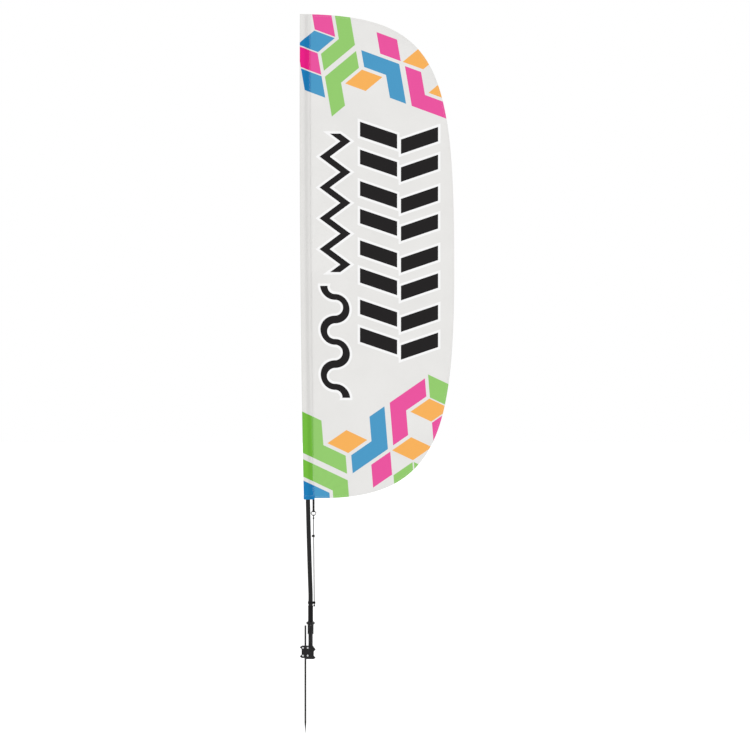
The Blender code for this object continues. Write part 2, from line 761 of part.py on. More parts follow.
def make_sleeve():
    """The pocket that the pole runs up, closed at the top."""
    mesh = bpy.data.meshes.new("pole_sleeve")
    shape = bmesh.new()
    rows = []
    for z in heights(SLEEVE_FOOT, FLAG_TOP, SLEEVE_STEP):
        section = sleeve_section(z)
        rows.append([shape.verts.new((pole_x(z) + x, y, z)) for x, y in section])
    for low, high in zip(rows, rows[1:]):
        for index in range(len(low)):
            after = (index + 1) % len(low)
            shape.faces.new((low[index], high[index], high[after], low[after]))
    shape.faces.new(rows[-1])
    bmesh.ops.recalc_face_normals(shape, faces=shape.faces)
    shape.to_mesh(mesh)
    shape.free()
    item = add_part("pole_sleeve", mesh, SLEEVE_KNIT)
    skin = item.modifiers.new("cloth", "SOLIDIFY")
    skin.thickness = SLEEVE_WALL
    skin.offset = -1
    skin.use_even_offset = True


# ---------------------------------------------------------------- tether


def ring_height(x):
    """Height of the ring's wire above its middle, at a distance from its centre line."""
    share = (abs(x) / RING_HALF_WIDTH) ** RING_POWER
    return RING_HALF_HEIGHT * (1 - share) ** (1 / RING_POWER)


def make_ring():
    points = []
    for step in range(28):
        turn = 2 * math.pi * step / 28
        across = math.copysign(abs(math.cos(turn)) ** (2 / RING_POWER), math.cos(turn))
        up = math.copysign(abs(math.sin(turn)) ** (2 / RING_POWER), math.sin(turn))
        place = (TETHER_X + RING_HALF_WIDTH * across, 0, RING_Z + RING_HALF_HEIGHT * up)
        points.append(place)
    distinct = []
    for place in points:
        if not distinct or math.dist(place, distinct[-1]) > 0.8 * MM:
            distinct.append(place)
    curve = bevelled_curve("tether_ring", distinct, RING_WIRE, 2, closed=True)
    add_part("tether_ring", curve, BLACK_STEEL)


def make_strap():
    """A folded webbing strap, sewn behind the sleeve, with the ring in its fold."""
    slant = 1.7  # the sloping wire's height, over its thickness
    wire_foot = RING_Z + ring_height(STRAP_WIDTH / 2) - slant * RING_WIRE
    fold = RING_WIRE + 2 * GAP + STRAP_THICKNESS / 2
    fold_z = wire_foot - 3 * GAP - STRAP_THICKNESS / 2 + fold
    over_ring = RING_Z + RING_HALF_HEIGHT + slant * RING_WIRE
    joined = over_ring + 12 * MM
    front = sleeve_depth(SLEEVE_FOOT) * 0.62 + GAP + STRAP_THICKNESS / 2
    back = front + STRAP_THICKNESS + GAP
    sewn_top = SLEEVE_FOOT + STRAP_SEWN
    line = [(back, sewn_top), (back, SLEEVE_FOOT), (fold + 1.4 * MM, joined), (fold, over_ring)]
    for step in range(7):
        turn = math.pi * step / 6
        line.append((fold * math.cos(turn), fold_z - fold * math.sin(turn)))
    line += [(-fold, over_ring), (fold - 0.6 * MM, joined), (front, SLEEVE_FOOT), (front, sewn_top)]
    mesh = bpy.data.meshes.new("tether_strap")
    shape = bmesh.new()
    half = STRAP_WIDTH / 2
    left = [shape.verts.new((TETHER_X - half, y, z)) for y, z in line]
    right = [shape.verts.new((TETHER_X + half, y, z)) for y, z in line]
    for index in range(len(line) - 1):
        shape.faces.new((left[index], left[index + 1], right[index + 1], right[index]))
    shape.to_mesh(mesh)
    shape.free()
    item = add_part("tether_strap", mesh, BLACK_WEBBING)
    skin = item.modifiers.new("webbing", "SOLIDIFY")
    skin.thickness = STRAP_THICKNESS
    skin.offset = 0
    skin.use_even_offset = True


def cord_x(z):
    """X of the taut cord at a height. It runs straight from the ring to the lug."""
    share = (CORD_TOP - z) / (CORD_TOP - BAND_Z)
    return TETHER_X + (LUG_X - TETHER_X) * share


def cord_tilt():
    return math.atan2(LUG_X - TETHER_X, CORD_TOP - BAND_Z)


def make_cord():
    points = [Vector((cord_x(z), 0, z)) for z in heights(CORD_FOOT, CORD_TOP, 5 * CORD_RADIUS)]
    add_part("tether_cord", bevelled_curve("tether_cord", points, CORD_RADIUS, 2), BLACK_CORD)
    make_loop_knot()
    knot_profile = knot_shape(CORD_FOOT - GAP - KNOT_HEIGHT, CORD_FOOT - GAP)
    turned("tether_knot", knot_profile, BLACK_CORD, 12, (cord_x(CORD_FOOT), 0, 0))


def knot_shape(foot, top):
    """A rounded lump, as (radius, height) points from its top to its foot."""
    middle = (foot + top) / 2
    half = (top - foot) / 2
    angles = [math.pi / 2 - math.pi * step / 6 for step in range(7)]
    profile = [(KNOT_RADIUS * math.cos(a), middle + half * math.sin(a)) for a in angles]
    profile[0] = (0, top)
    profile[-1] = (0, foot)
    return profile


def make_loop_knot():
    """The cord's loop through the ring, and its knot just under the ring."""
    top = CORD_TOP + GAP + KNOT_HEIGHT
    knot = turned(
        "tether_loop", knot_shape(CORD_TOP + GAP, top), BLACK_CORD, 12, (TETHER_X, 0, 0)
    )
    centre = Vector((TETHER_X, 0, RING_Z - RING_HALF_HEIGHT))
    turns = [2 * math.pi * step / 16 for step in range(16)]
    circle_points = [
        centre + CORD_LOOP_RADIUS * Vector((0, math.cos(turn), math.sin(turn))) for turn in turns
    ]
    curve = bevelled_curve("loop_bend", circle_points, CORD_RADIUS, 2, closed=True)
    bend = as_mesh(add_part("loop_bend", curve, BLACK_CORD))
    parts.objects.unlink(bend)
    cutters.objects.link(bend)
    bend.hide_render = True
    bend.display_type = "WIRE"
    cut(knot, bend, "UNION")


def make_band():
    """A band round the pole with a lug, whose hole takes the cord."""
    band_radius = LOWER_POLE_RADIUS + GAP + BAND_WALL
    reach = LUG_X - SWIVEL_X
    spread = math.acos((band_radius - LUG_RADIUS) / reach)
    steps = 20
    outline = []
    for step in range(steps + 1):
        turn = spread + (2 * math.pi - 2 * spread) * step / steps
        outline.append((band_radius * math.cos(turn), band_radius * math.sin(turn)))
    for step in range(9):
        turn = -spread + 2 * spread * step / 8
        outline.append((reach + LUG_RADIUS * math.cos(turn), LUG_RADIUS * math.sin(turn)))
    pole_hole = circle(0, 0, LOWER_POLE_RADIUS + GAP, 24)
    cord_hole = circle(reach, 0, CORD_RADIUS + 2 * GAP, 12)
    flat_plate(
        "tether_band",
        [outline, pole_hole, cord_hole],
        BAND_HEIGHT,
        BLACK_PLASTIC,
        (SWIVEL_X, 0, BAND_Z),
    )


def make_cord_stop():
    """A small moulded stop that slides on the cord. Its nose points at the pole."""
    half = STOP_NOSE_WIDTH / 2
    start = math.asin(half / STOP_RADIUS)
    outline = []
    for step in range(17):
        turn = -math.pi + start + (2 * math.pi - 2 * start) * step / 16
        outline.append((STOP_RADIUS * math.cos(turn), STOP_RADIUS * math.sin(turn)))
    outline += [(-STOP_NOSE, half * 0.7), (-STOP_NOSE, -half * 0.7)]
    hole = circle(0, 0, CORD_RADIUS + 2 * GAP, 12)
    place = (cord_x(STOP_Z), 0, STOP_Z)
    stop = flat_plate("cord_stop", [outline, hole], STOP_HEIGHT, BLACK_PLASTIC, place)
    stop.location = place
    stop.rotation_euler.y = -cord_tilt()


make_spike()
make_jaw("clamp_front_jaw", -1)
make_jaw("clamp_back_jaw", 1)
make_clamp_bolts()
make_housing()
make_bearings()
make_spindle()
make_flange()
make_poles()
make_ferrules()
make_pole_ends()
make_panel()
make_sleeve()
make_ring()
make_strap()
make_cord()
make_band()
make_cord_stop()
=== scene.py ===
"""Feather flag on a swivelling pole: its printed cloth, stitching, cord and black hardware.

Everything is in metres, +Z up. The origin is on the ground spike's axis, where it leaves the ground.
The flag lies in the XZ plane, and its front faces -Y.
"""

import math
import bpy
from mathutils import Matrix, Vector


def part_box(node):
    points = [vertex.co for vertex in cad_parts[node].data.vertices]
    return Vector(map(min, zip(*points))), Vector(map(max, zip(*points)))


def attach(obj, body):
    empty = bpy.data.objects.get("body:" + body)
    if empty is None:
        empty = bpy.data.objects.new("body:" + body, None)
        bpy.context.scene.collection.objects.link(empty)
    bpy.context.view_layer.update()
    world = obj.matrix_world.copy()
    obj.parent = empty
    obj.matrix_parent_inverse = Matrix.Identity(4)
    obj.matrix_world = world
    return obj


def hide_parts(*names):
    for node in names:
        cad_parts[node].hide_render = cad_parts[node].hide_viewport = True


bl_info = {
    "name": "Feather Flag",
    "version": (1, 0, 0),
    "blender": (4, 5, 0),
    "location": "3D View > Sidebar > Feather Flag",
    "description": "Makes a feather flag's cloth, print, cord, clamp and pole around its frame",
    "category": "Object",
}

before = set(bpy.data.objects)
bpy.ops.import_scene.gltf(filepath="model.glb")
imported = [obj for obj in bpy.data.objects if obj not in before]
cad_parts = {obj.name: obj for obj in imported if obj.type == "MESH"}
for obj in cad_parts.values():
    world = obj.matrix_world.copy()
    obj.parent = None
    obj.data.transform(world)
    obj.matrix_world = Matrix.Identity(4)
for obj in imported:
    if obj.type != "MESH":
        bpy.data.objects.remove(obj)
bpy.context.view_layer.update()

import bmesh
import bpy
from mathutils import Matrix, Vector, noise
from mathutils.bvhtree import BVHTree
from mathutils.kdtree import KDTree

MM = 0.001


def box(node):
    """Lowest corner, highest corner and middle of a CAD node."""
    low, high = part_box(node)
    return low, high, (low + high) / 2


SPIKE_LOW, SPIKE_HIGH, _ = box("ground_spike")
JAW_LOW, JAW_HIGH, _ = box("clamp_front_jaw")
_, HOUSING_HIGH, _ = box("swivel_housing")
FLANGE_LOW, FLANGE_HIGH, FLANGE_MIDDLE = box("swivel_flange")
POST_LOW, POST_HIGH, _ = box("spindle")
SOCKET_LOW, SOCKET_HIGH, _ = box("pole_base_sleeve")
POLE_LOW, POLE_HIGH, _ = box("lower_pole")
PANEL_LOW, PANEL_HIGH, _ = box("flag_panel")
SLEEVE_LOW, _, _ = box("pole_sleeve")
RING_LOW, RING_HIGH, RING_MIDDLE = box("tether_ring")
STRAP_LOW, STRAP_HIGH, STRAP_MIDDLE = box("tether_strap")
BAND_LOW, BAND_HIGH, _ = box("tether_band")
STOP_LOW, STOP_HIGH, _ = box("cord_stop")
CORD_LOW, CORD_HIGH, _ = box("tether_cord")
KNOT_LOW, KNOT_HIGH, KNOT_MIDDLE = box("tether_knot")

SWIVEL_X = FLANGE_MIDDLE.x
SPIKE_RADIUS = SPIKE_HIGH.x
FLAG_TOP = PANEL_HIGH.z
FLAG_FOOT = PANEL_LOW.z
GAP = 0.3 * MM  # between parts that turn or slide on each other
WELD = 0.00001  # points closer than this are one
STUD_RADIUS = 6 * MM  # the housing's foot, which the jaws hold
BOLTS = [(x * 10 * MM, z) for z in (15 * MM, 48 * MM) for x in (-1, 1)]
BOLT_RADIUS, BOLT_HOLE = 2.5 * MM, 2.8 * MM
POLE_RADIUS, POLE_BORE = 9.5 * MM, 8.3 * MM
POLE_FIT = 9.8 * MM  # bore of the parts that go round the pole
CORD_HOLE = 2.6 * MM
BOW_FOOT, BOW = 0.270, 29 * MM  # where the pole starts to bow, and how far it bows
SEAM = 28 * MM  # from the pole's axis to the seam
CLOSING = 11 * MM  # the length over which the sleeve closes at its top
FLY_X, FLY_Z = 0.632, 1.670  # the free edge where it is furthest out
CORNER_X = 0.076  # the foot of the free edge
STITCH, THREAD, FINE_THREAD = 2.7 * MM, 0.45 * MM, 0.42 * MM


# ---------------------------------------------------------------- the pole's line and the flag's outline


def pole_x(z):
    """X of the pole's axis at a height. It is upright at its foot and bows gently above it."""
    share = max(0.0, (z - BOW_FOOT) / (FLAG_TOP - BOW_FOOT))
    bend = (share * share / (share + 0.015)) ** 0.8 if share else 0.0
    return SWIVEL_X - BOW * math.sin(math.pi * bend / 1.72)


def pole_path(z):
    """X of the pole's axis and its slope."""
    return pole_x(z), (pole_x(z + MM) - pole_x(z - MM)) / (2 * MM)


def upright(x):
    """A path that stands straight up at one place."""
    return lambda z: (x, 0.0)


def seam_x(z):
    """X of the seam between the sleeve and the single layer of cloth."""
    return pole_x(z) + SEAM


def cubic(corners, steps=300):
    """Points along a cubic curve, without its last one."""
    points = []
    for index in range(steps):
        t = index / steps
        weights = ((1 - t) ** 3, 3 * t * (1 - t) ** 2, 3 * t * t * (1 - t), t**3)
        points.append(sum((Vector(c) * w for c, w in zip(corners, weights)), Vector((0, 0))))
    return points


def evenly(points, count):
    """The same line with evenly spaced points, and its length."""
    lengths = [0.0]
    for first, second in zip(points, points[1:]):
        lengths.append(lengths[-1] + (second - first).length)
    spaced = []
    index = 0
    for step in range(count):
        along = lengths[-1] * step / (count - 1)
        while index < len(points) - 2 and lengths[index + 1] < along:
            index += 1
        span = lengths[index + 1] - lengths[index]
        spaced.append(points[index].lerp(points[index + 1], (along - lengths[index]) / span))
    return spaced, lengths[-1]


def fly_line(count):
    """The free edge from the top of the hoist to the foot, in X and Z, evenly spaced."""
    upper = cubic([(-0.040, FLAG_TOP), (0.565, FLAG_TOP), (FLY_X, 2.538), (FLY_X, FLY_Z)])
    lower = cubic([(FLY_X, FLY_Z), (FLY_X, 0.995), (0.578, FLAG_FOOT), (CORNER_X, FLAG_FOOT)])
    start = seam_x(FLAG_TOP)
    outline = [point for point in upper if point.x > start] + lower + [Vector((CORNER_X, FLAG_FOOT))]
    return evenly([Vector((start, FLAG_TOP))] + outline, count)


def smooth(value, low, high):
    """0 under low, 1 over high, and an even rise between them."""
    t = min(1.0, max(0.0, (value - low) / (high - low)))
    return t * t * (3 - 2 * t)


class FreeEdge:
    """The free edge of the cloth, for the distance of a point from it and its place along it."""

    def __init__(self, count=1600):
        self.points, self.length = fly_line(count)
        self.tree = KDTree(len(self.points))
        for index, point in enumerate(self.points):
            self.tree.insert((point.x, 0, point.y), index)
        self.tree.balance()

    def nearest(self, x, z):
        _, index, distance = self.tree.find((x, 0, z))
        return index * self.length / (len(self.points) - 1), distance


EDGE = FreeEdge()


def cloth_y(x, z):
    """How far the single layer stands out of its plane: slack waves, corner folds and a puckered hem."""
    props = bpy.context.scene.feather_cloth
    off_seam = x - seam_x(z)
    wave = math.sin(2 * math.pi * (z / 0.66 + x / 1.7) + 0.6)
    wave += 0.5 * math.sin(2 * math.pi * (z / 0.31 - x / 0.85) + 2.1)
    wave += 0.7 * noise.noise(Vector((x * 3.1, 0.0, z * 2.3)))
    y = props.wave_height * smooth(off_seam, 0.0, 0.24) * wave
    corner = Vector((x - seam_x(FLAG_FOOT), z - FLAG_FOOT))
    pull = smooth(corner.length, 0.02, 0.10) * math.exp(-corner.length / 0.22)
    y += 1.3 * MM * pull * math.sin(math.atan2(corner.y, max(corner.x, 1e-4)) * 19)
    gather = math.exp(-max(off_seam, 0.0) / 0.03) * smooth(off_seam, 0.0, 0.012)
    y += 0.7 * MM * gather * noise.noise(Vector((0.3, 0.0, z * 60)))
    along, inwards = EDGE.nearest(x, z)
    return y + 0.4 * MM * math.exp(-inwards / 0.014) * math.sin(along / 0.0075)


# ---------------------------------------------------------------- shapes


def angles(start, sweep, count):
    """Even steps through a sweep, with both its ends."""
    return [start + sweep * step / count for step in range(count + 1)]


def full_turn(count):
    """Even steps through a full turn, without its end."""
    return angles(0, 2 * math.pi, count)[:-1]


def arc(x, y, radius, turns):
    """Points round a middle, one at each angle."""
    return [(x + radius * math.cos(turn), y + radius * math.sin(turn)) for turn in turns]


def linked(name, data):
    """A new object in the scene."""
    item = bpy.data.objects.new(name, data)
    bpy.context.scene.collection.objects.link(item)
    return item


def cleaned(mesh, weld=True):
    """The mesh with its doubled points joined and its faces turned outwards."""
    shape = bmesh.new()
    shape.from_mesh(mesh)
    if weld:
        bmesh.ops.remove_doubles(shape, verts=shape.verts, dist=WELD)
    bmesh.ops.recalc_face_normals(shape, faces=shape.faces)
    shape.to_mesh(mesh)
    shape.free()
    return mesh


def layered(piece, thickness, offset=0):
    """Gives a piece made as a surface its thickness."""
    skin = piece.modifiers.new("layer", "SOLIDIFY")
    skin.thickness = thickness
    skin.offset = offset


def evenly_shaded(piece):
    """Keeps a piece's flat faces flat up to their rounded edges."""
    piece.modifiers.new("even_shading", "WEIGHTED_NORMAL").keep_sharp = True


class Shape:
    """The points and faces of one piece, gathered before its mesh is made."""

    def __init__(self):
        self.points = []
        self.faces = []

    def rings(self, rows, around=True, end_to_end=False):
        """Joins rows of points to each other. A row of one point closes an end."""
        starts = []
        for row in rows:
            starts.append((len(self.points), len(row)))
            self.points.extend(row)
        pairs = list(zip(starts, starts[1:]))
        if end_to_end:
            pairs.append((starts[-1], starts[0]))
        for (low, low_count), (high, high_count) in pairs:
            count = max(low_count, high_count)
            for index in range(count if around else count - 1):
                after = (index + 1) % count
                corners = [low + index, low + after, high + after, high + index]
                if low_count == 1:
                    corners = [low, high + after, high + index]
                elif high_count == 1:
                    corners = [low + index, low + after, high]
                self.faces.append(tuple(corners))

    def stitch(self, point, along, out, length=STITCH, width=THREAD):
        """A short thread that goes into the cloth at both ends."""
        along = along.normalized()
        out = out.normalized()
        side = along.cross(out).normalized()
        half, sink = along * length / 2, out * width * 0.3
        rows = [[point - half - sink]]
        for share in (-0.22, 0.22):
            middle = point + along * length * share + out * width * 0.25
            rows.append([middle + corner * width / 2 for corner in (side, out, -side, -out)])
        rows.append([point + half - sink])
        self.rings(rows)

    def make(self, name, finish, body=None, node=None, angle=35, weld=True):
        """The finished piece."""
        mesh = bpy.data.meshes.new(name)
        mesh.from_pydata([tuple(point) for point in self.points], [], self.faces)
        return place(name, cleaned(mesh, weld), finish, body, node, angle)


def place(name, mesh, finish, body=None, node=None, angle=35):
    """Puts a mesh in the scene with its material, smooth but for its sharp edges.

    A piece rides on its CAD body, has the slot of its finish, and may stand for a CAD node.
    """
    mesh.materials.clear()
    mesh.materials.append(look(finish))
    mesh.shade_smooth()
    mesh.set_sharp_from_angle(angle=math.radians(angle))
    piece = linked(name, mesh)
    if body:
        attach(piece, body)
    if node:
        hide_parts(node)
    return piece


def eased(points, radius, steps=4, closed=False):
    """The same outline with its corners rounded."""
    rounded = []
    count = len(points)
    for index, point in enumerate(points):
        if not closed and index in (0, count - 1):
            rounded.append(tuple(point))
            continue
        corner = Vector(point)
        back = Vector(points[index - 1]) - corner
        ahead = Vector(points[(index + 1) % count]) - corner
        reach = min(radius, back.length * 0.45, ahead.length * 0.45)
        if reach < 0.005 * MM or back.angle(ahead) > math.pi - 0.06:
            rounded.append(tuple(point))
            continue
        start = corner + back.normalized() * reach
        end = corner + ahead.normalized() * reach
        for step in range(steps + 1):
            t = step / steps
            rounded.append(tuple(start * (1 - t) ** 2 + corner * 2 * t * (1 - t) + end * t * t))
    return rounded


def hexagon(turn, flats):
    """Distance from a hexagon's middle to its edge in a direction."""
    return flats / 2 / math.cos(turn % (math.pi / 3) - math.pi / 6)


def turned_rows(profile, path, sides):
    """Rings round a path. The profile is (radius, height) points.

    A third value is a distance across flats, which cuts the ring to a hexagon.
    """
    rows = []
    for radius, z, *flats in profile:
        x, slope = path(z)
        if radius < 0.001 * MM:
            rows.append([Vector((x, 0, z))])
            continue
        level = 1 / math.hypot(1, slope)
        row = []
        for turn in full_turn(sides):
            reach = min(radius, hexagon(turn, flats[0])) if flats else radius
            across = reach * math.cos(turn) * level
            row.append(Vector((x + across, reach * math.sin(turn), z - across * slope)))
        rows.append(row)
    return rows


def turned(profile, path, sides=64, ring=False):
    """A shape turned round a path. A ring's profile is closed, and leaves its middle open."""
    shape = Shape()
    shape.rings(turned_rows(profile, path, sides), end_to_end=ring)
    return shape


def swept_frames(line, closed=False):
    """The tangent and two cross directions at each point of a line, without twist."""
    frames = []
    count = len(line)
    side = None
    for index, point in enumerate(line):
        before = line[index - 1] if index or closed else point
        after = line[(index + 1) % count] if index < count - 1 or closed else point
        tangent = (after - before).normalized()
        if side is None:
            side = tangent.orthogonal().normalized()
        side = (side - tangent * side.dot(tangent)).normalized()
        frames.append((tangent, side, tangent.cross(side)))
    return frames


def braid(shape, line, radius, sides=32, closed=False, plaits=4, lay=5.5 * MM, relief=0.10):
    """A braided cord along closely spaced points. Its strands cross over each other."""
    rows = []
    along = 0.0
    for index, (point, (_, side, other)) in enumerate(zip(line, swept_frames(line, closed))):
        if index:
            along += (point - line[index - 1]).length
        phase = 2 * math.pi * along / lay
        row = []
        for turn in full_turn(sides):
            crossing = math.sin(plaits * turn + phase) * math.sin(plaits * turn - phase)
            reach = radius * (1 - relief * (0.5 - 0.5 * crossing))
            row.append(point + side * reach * math.cos(turn) + other * reach * math.sin(turn))
        rows.append(row)
    if not closed:
        rows = [[line[0]], *rows, [line[-1]]]
    shape.rings(rows, end_to_end=closed)


def evaluated_mesh(item):
    """A copy of an object's mesh with its modifiers or its curve worked out."""
    bpy.context.view_layer.update()
    return bpy.data.meshes.new_from_object(item.evaluated_get(bpy.context.evaluated_depsgraph_get()))


def carve(item, tools, operation="DIFFERENCE"):
    """Cuts or joins tools into an object for good, and removes them."""
    for tool in tools:
        step = item.modifiers.new("carve", "BOOLEAN")
        step.operation = operation
        step.solver = "EXACT"
        step.object = tool
    mesh = evaluated_mesh(item)
    item.modifiers.clear()
    item.data = mesh
    for tool in tools:
        bpy.data.objects.remove(tool, do_unlink=True)
    return item


def rod(radius, low, high, sides=48, edge=0.0):
    """A plain rod along Z, used to cut or join."""
    profile = [(0, high), (radius, high), (radius, low), (0, low)]
    if edge:
        profile = eased(profile, edge)
    return turned(profile, upright(0), sides).make("tool", "cast")


def solid_of(outlines, thickness, edge, matrix):
    """A plate from closed outlines in X and Y, the inner ones being holes, with rounded edges."""
    curve = bpy.data.curves.new("plate", "CURVE")
    curve.dimensions = "2D"
    curve.fill_mode = "BOTH"
    curve.bevel_depth = edge
    curve.bevel_resolution = 3
    curve.offset = -edge
    curve.extrude = thickness / 2 - edge
    for outline in outlines:
        spline = curve.splines.new("POLY")
        spline.points.add(len(outline) - 1)
        for point, (x, y) in zip(spline.points, outline):
            point.co = (x, y, 0, 1)
        spline.use_cyclic_u = True
    item = linked("plate", curve)
    mesh = cleaned(evaluated_mesh(item))
    bpy.data.objects.remove(item, do_unlink=True)
    mesh.transform(matrix)
    return mesh


FACING = Matrix.Rotation(math.pi / 2, 4, "X")  # turns a plate in X and Y to stand in X and Z


# ---------------------------------------------------------------- node materials


class Value:
    """A shader socket that Python arithmetic can be written on."""

    def __init__(self, board, socket):
        self.board = board
        self.socket = socket

    def math(self, operation, *others):
        values = dict(enumerate((self, *others)))
        return self.board.add("ShaderNodeMath", {"operation": operation}, values)

    def __add__(self, other):
        return self.math("ADD", other)

    def __sub__(self, other):
        return self.math("SUBTRACT", other)

    def __rsub__(self, other):
        return self.board.add("ShaderNodeMath", {"operation": "SUBTRACT"}, {0: other, 1: self})

    def __mul__(self, other):
        return self.math("MULTIPLY", other)

    def __abs__(self):
        return self.math("ABSOLUTE")

    __radd__ = __add__
    __rmul__ = __mul__

    def inside(self, low, high):
        """1 where the value is between low and high, and 0 elsewhere."""
        return self.math("COMPARE", (low + high) / 2, (high - low) / 2)

    def fade(self, low, high):
        """0 at low, 1 at high, and an even rise between them."""
        return self.board.add(
            "ShaderNodeMapRange",
            {"interpolation_type": "SMOOTHSTEP"},
            {"Value": self, "From Min": low, "From Max": high},
            "Result",
        )


class Board:
    """A node material that is put together from expressions."""

    def __init__(self, name, **constants):
        self.material = bpy.data.materials.new(name)
        self.material.use_nodes = True
        self.tree = self.material.node_tree
        self.shader = self.tree.nodes["Principled BSDF"]
        for socket, value in constants.items():
            self.shader.inputs[socket.replace("_", " ")].default_value = value
        self.place = self.add("ShaderNodeTexCoord", {}, {}, "Object")
        split = self.add("ShaderNodeSeparateXYZ", {}, {0: self.place}, None)
        self.x, self.y, self.z = (Value(self, split.outputs[axis]) for axis in "XYZ")

    def add(self, kind, settings, values, out=0):
        """Adds a node: its settings first, then its values or links."""
        node = self.tree.nodes.new(kind)
        for name, setting in settings.items():
            setattr(node, name, setting)
        for key, value in values.items():
            if isinstance(value, Value):
                self.tree.links.new(value.socket, node.inputs[key])
            else:
                node.inputs[key].default_value = value
        return node if out is None else Value(self, node.outputs[out])

    def noise(self, scale, detail=2.0, roughness=0.5, stretch=None):
        """Cloudy values from 0 to 1. stretch scales the three directions."""
        where = self.place
        if stretch:
            where = self.add("ShaderNodeMapping", {}, {"Vector": where, "Scale": stretch})
        values = {"Vector": where, "Scale": scale, "Detail": detail, "Roughness": roughness}
        return self.add("ShaderNodeTexNoise", {}, values, "Fac")

    def mix(self, share, first, second):
        """A colour between two, or one of them by a mask."""
        return self.add("ShaderNodeMix", {"data_type": "RGBA"}, {0: share, 6: first, 7: second}, 2)

    def bump(self, height, distance, strength=1.0, under=None):
        """The surface's direction over a relief, on top of another one."""
        values = {"Height": height, "Distance": distance, "Strength": strength}
        if under:
            values["Normal"] = under
        return self.add("ShaderNodeBump", {}, values, "Normal")

    def finish(self, **links):
        """Links values to the shader and gives the material."""
        for name, value in links.items():
            self.tree.links.new(value.socket, self.shader.inputs[name.replace("_", " ")])
        return self.material


def display_level(channel):
    """A display value from 0 to 1 as a linear one."""
    return channel / 12.92 if channel <= 0.04045 else ((channel + 0.055) / 1.055) ** 2.4


def linear(shade, level=1.0, gain=1.0, lift=0.0):
    """A display colour of 0 to 255 as a linear one, at a level. It may first be scaled and lifted."""
    return (*(display_level((channel * gain + lift) / 255) * level for channel in shade), 1.0)


# The printed pattern. Its shapes are cells of a triangular lattice, on lines m, n and their sum s.
# Each shape is one or two bars. A bar gives two of the three, with the lines that it lies between.
TOP_PATTERN = {
    "pink": [
        ["ms", (-1, 0, -2, -1)],
        ["ms", (-2, -1, -4, -3)],
        ["ms", (2, 3, -2, -1)],
        ["ms", (3, 4, -4, -2), (3, 5, -4, -3)],
    ],
    "green": [
        ["mn", (0, 1, -3, -1), (-1, 1, -3, -2)],
        ["mn", (-1, 1, -4, -3), (-1, 0, -5, -3)],
    ],
    "blue": [
        ["ns", (-2, -1, -3, -2)],
        ["ms", (-2, -1, -5, -4)],
        ["ms", (1, 3, -3, -2), (2, 3, -4, -2)],
    ],
    "orange": [["ns", (-5, -4, -4, -3)], ["ns", (-6, -5, -2, -1)], ["ns", (-8, -7, -3, -2)]],
}
FOOT_PATTERN = {
    "pink": [
        ["mn", (2, 4, -1, 0), (2, 3, -2, 0)],
        ["mn", (4, 5, -3, -2)],
        ["mn", (1, 2, -3, -2)],
    ],
    "green": [
        ["ms", (-2.6, -1, -2, 0), (-2.6, 0, -2, -1)],
        ["ms", (-2.6, 0, -3, -2), (-1, 0, -4, -2)],
        ["ms", (4, 5, 3, 4)],
        ["mn", (2, 3, -4, -3)],
        ["ms", (3, 4, -1, 0)],
    ],
    "blue": [["ms", (-2.6, -1, -4, -3)], ["mn", (1, 2, -2, 0), (0, 2, -2, -1)]],
    "orange": [["ns", (-1, 0, -1, 0)], ["ns", (-2, -1, 2, 3)], ["ns", (-3, -2, 0, 1)]],
}
EDGE_WHITE = 0.03  # white left at each side of a shape, as a share of a cell
BENT_WHITE = 0.13  # and where a shape is two bars
# The herringbone's bold bars: their heights, the slope they climb at and the columns they fill.
BAR_MIDDLES = (2.196, 2.078, 1.944, 1.826, 1.692, 1.574, 1.440, 1.322)
BAR_HALF = 31 * MM
BAR_SLOPE, BAR_DROP = 0.34, 0.022
BARS_X, BARS_INNER, BARS_OUTER = 0.398, 0.008, 0.166
# The narrow column: a zigzag, and under it a band of half rings that swells and thins.
NARROW_X = 0.126
ZIGZAG_START, ZIGZAG_REACH, ZIGZAG_SLOPE, ZIGZAG_HALF = 1.611, 0.0655, 1.35, 0.0130
ZIGZAG_LOW, ZIGZAG_HIGH = 1.644, 2.233
CURVE_FOOT, CURVE_TOP, CURVE_RADIUS = 1.110, 1.586, 0.0476
CURVE_HALF, CURVE_SWELL, CURVE_BEAT = 0.0145, 0.0025, 36.0
OUTLINE = 10 * MM  # white round the black shapes


def lattice(board, origin, turn, edge):
    """The three lattice values over the cloth."""
    x, z = board.x - origin[0], board.z - origin[1]
    angle = math.radians(turn)
    scale = 1 / (edge * math.sin(math.radians(60)))
    lean = angle + math.radians(30)
    m = x * (math.cos(angle) * scale) + z * (math.sin(angle) * scale)
    n = z * (math.cos(lean) * scale) - x * (math.sin(lean) * scale)
    return {"m": m, "n": n, "s": m + n}


def pattern_mask(values, shapes):
    """1 inside the shapes of one colour."""
    total = None
    for axes, *bars in shapes:
        inset = BENT_WHITE if len(bars) > 1 else EDGE_WHITE
        first, second = (values[axis] for axis in axes)
        for low, high, start, end in bars:
            bar = first.inside(low + inset, high - inset) * second.inside(start + inset, end - inset)
            total = bar if total is None else total.math("MAXIMUM", bar)
    return total


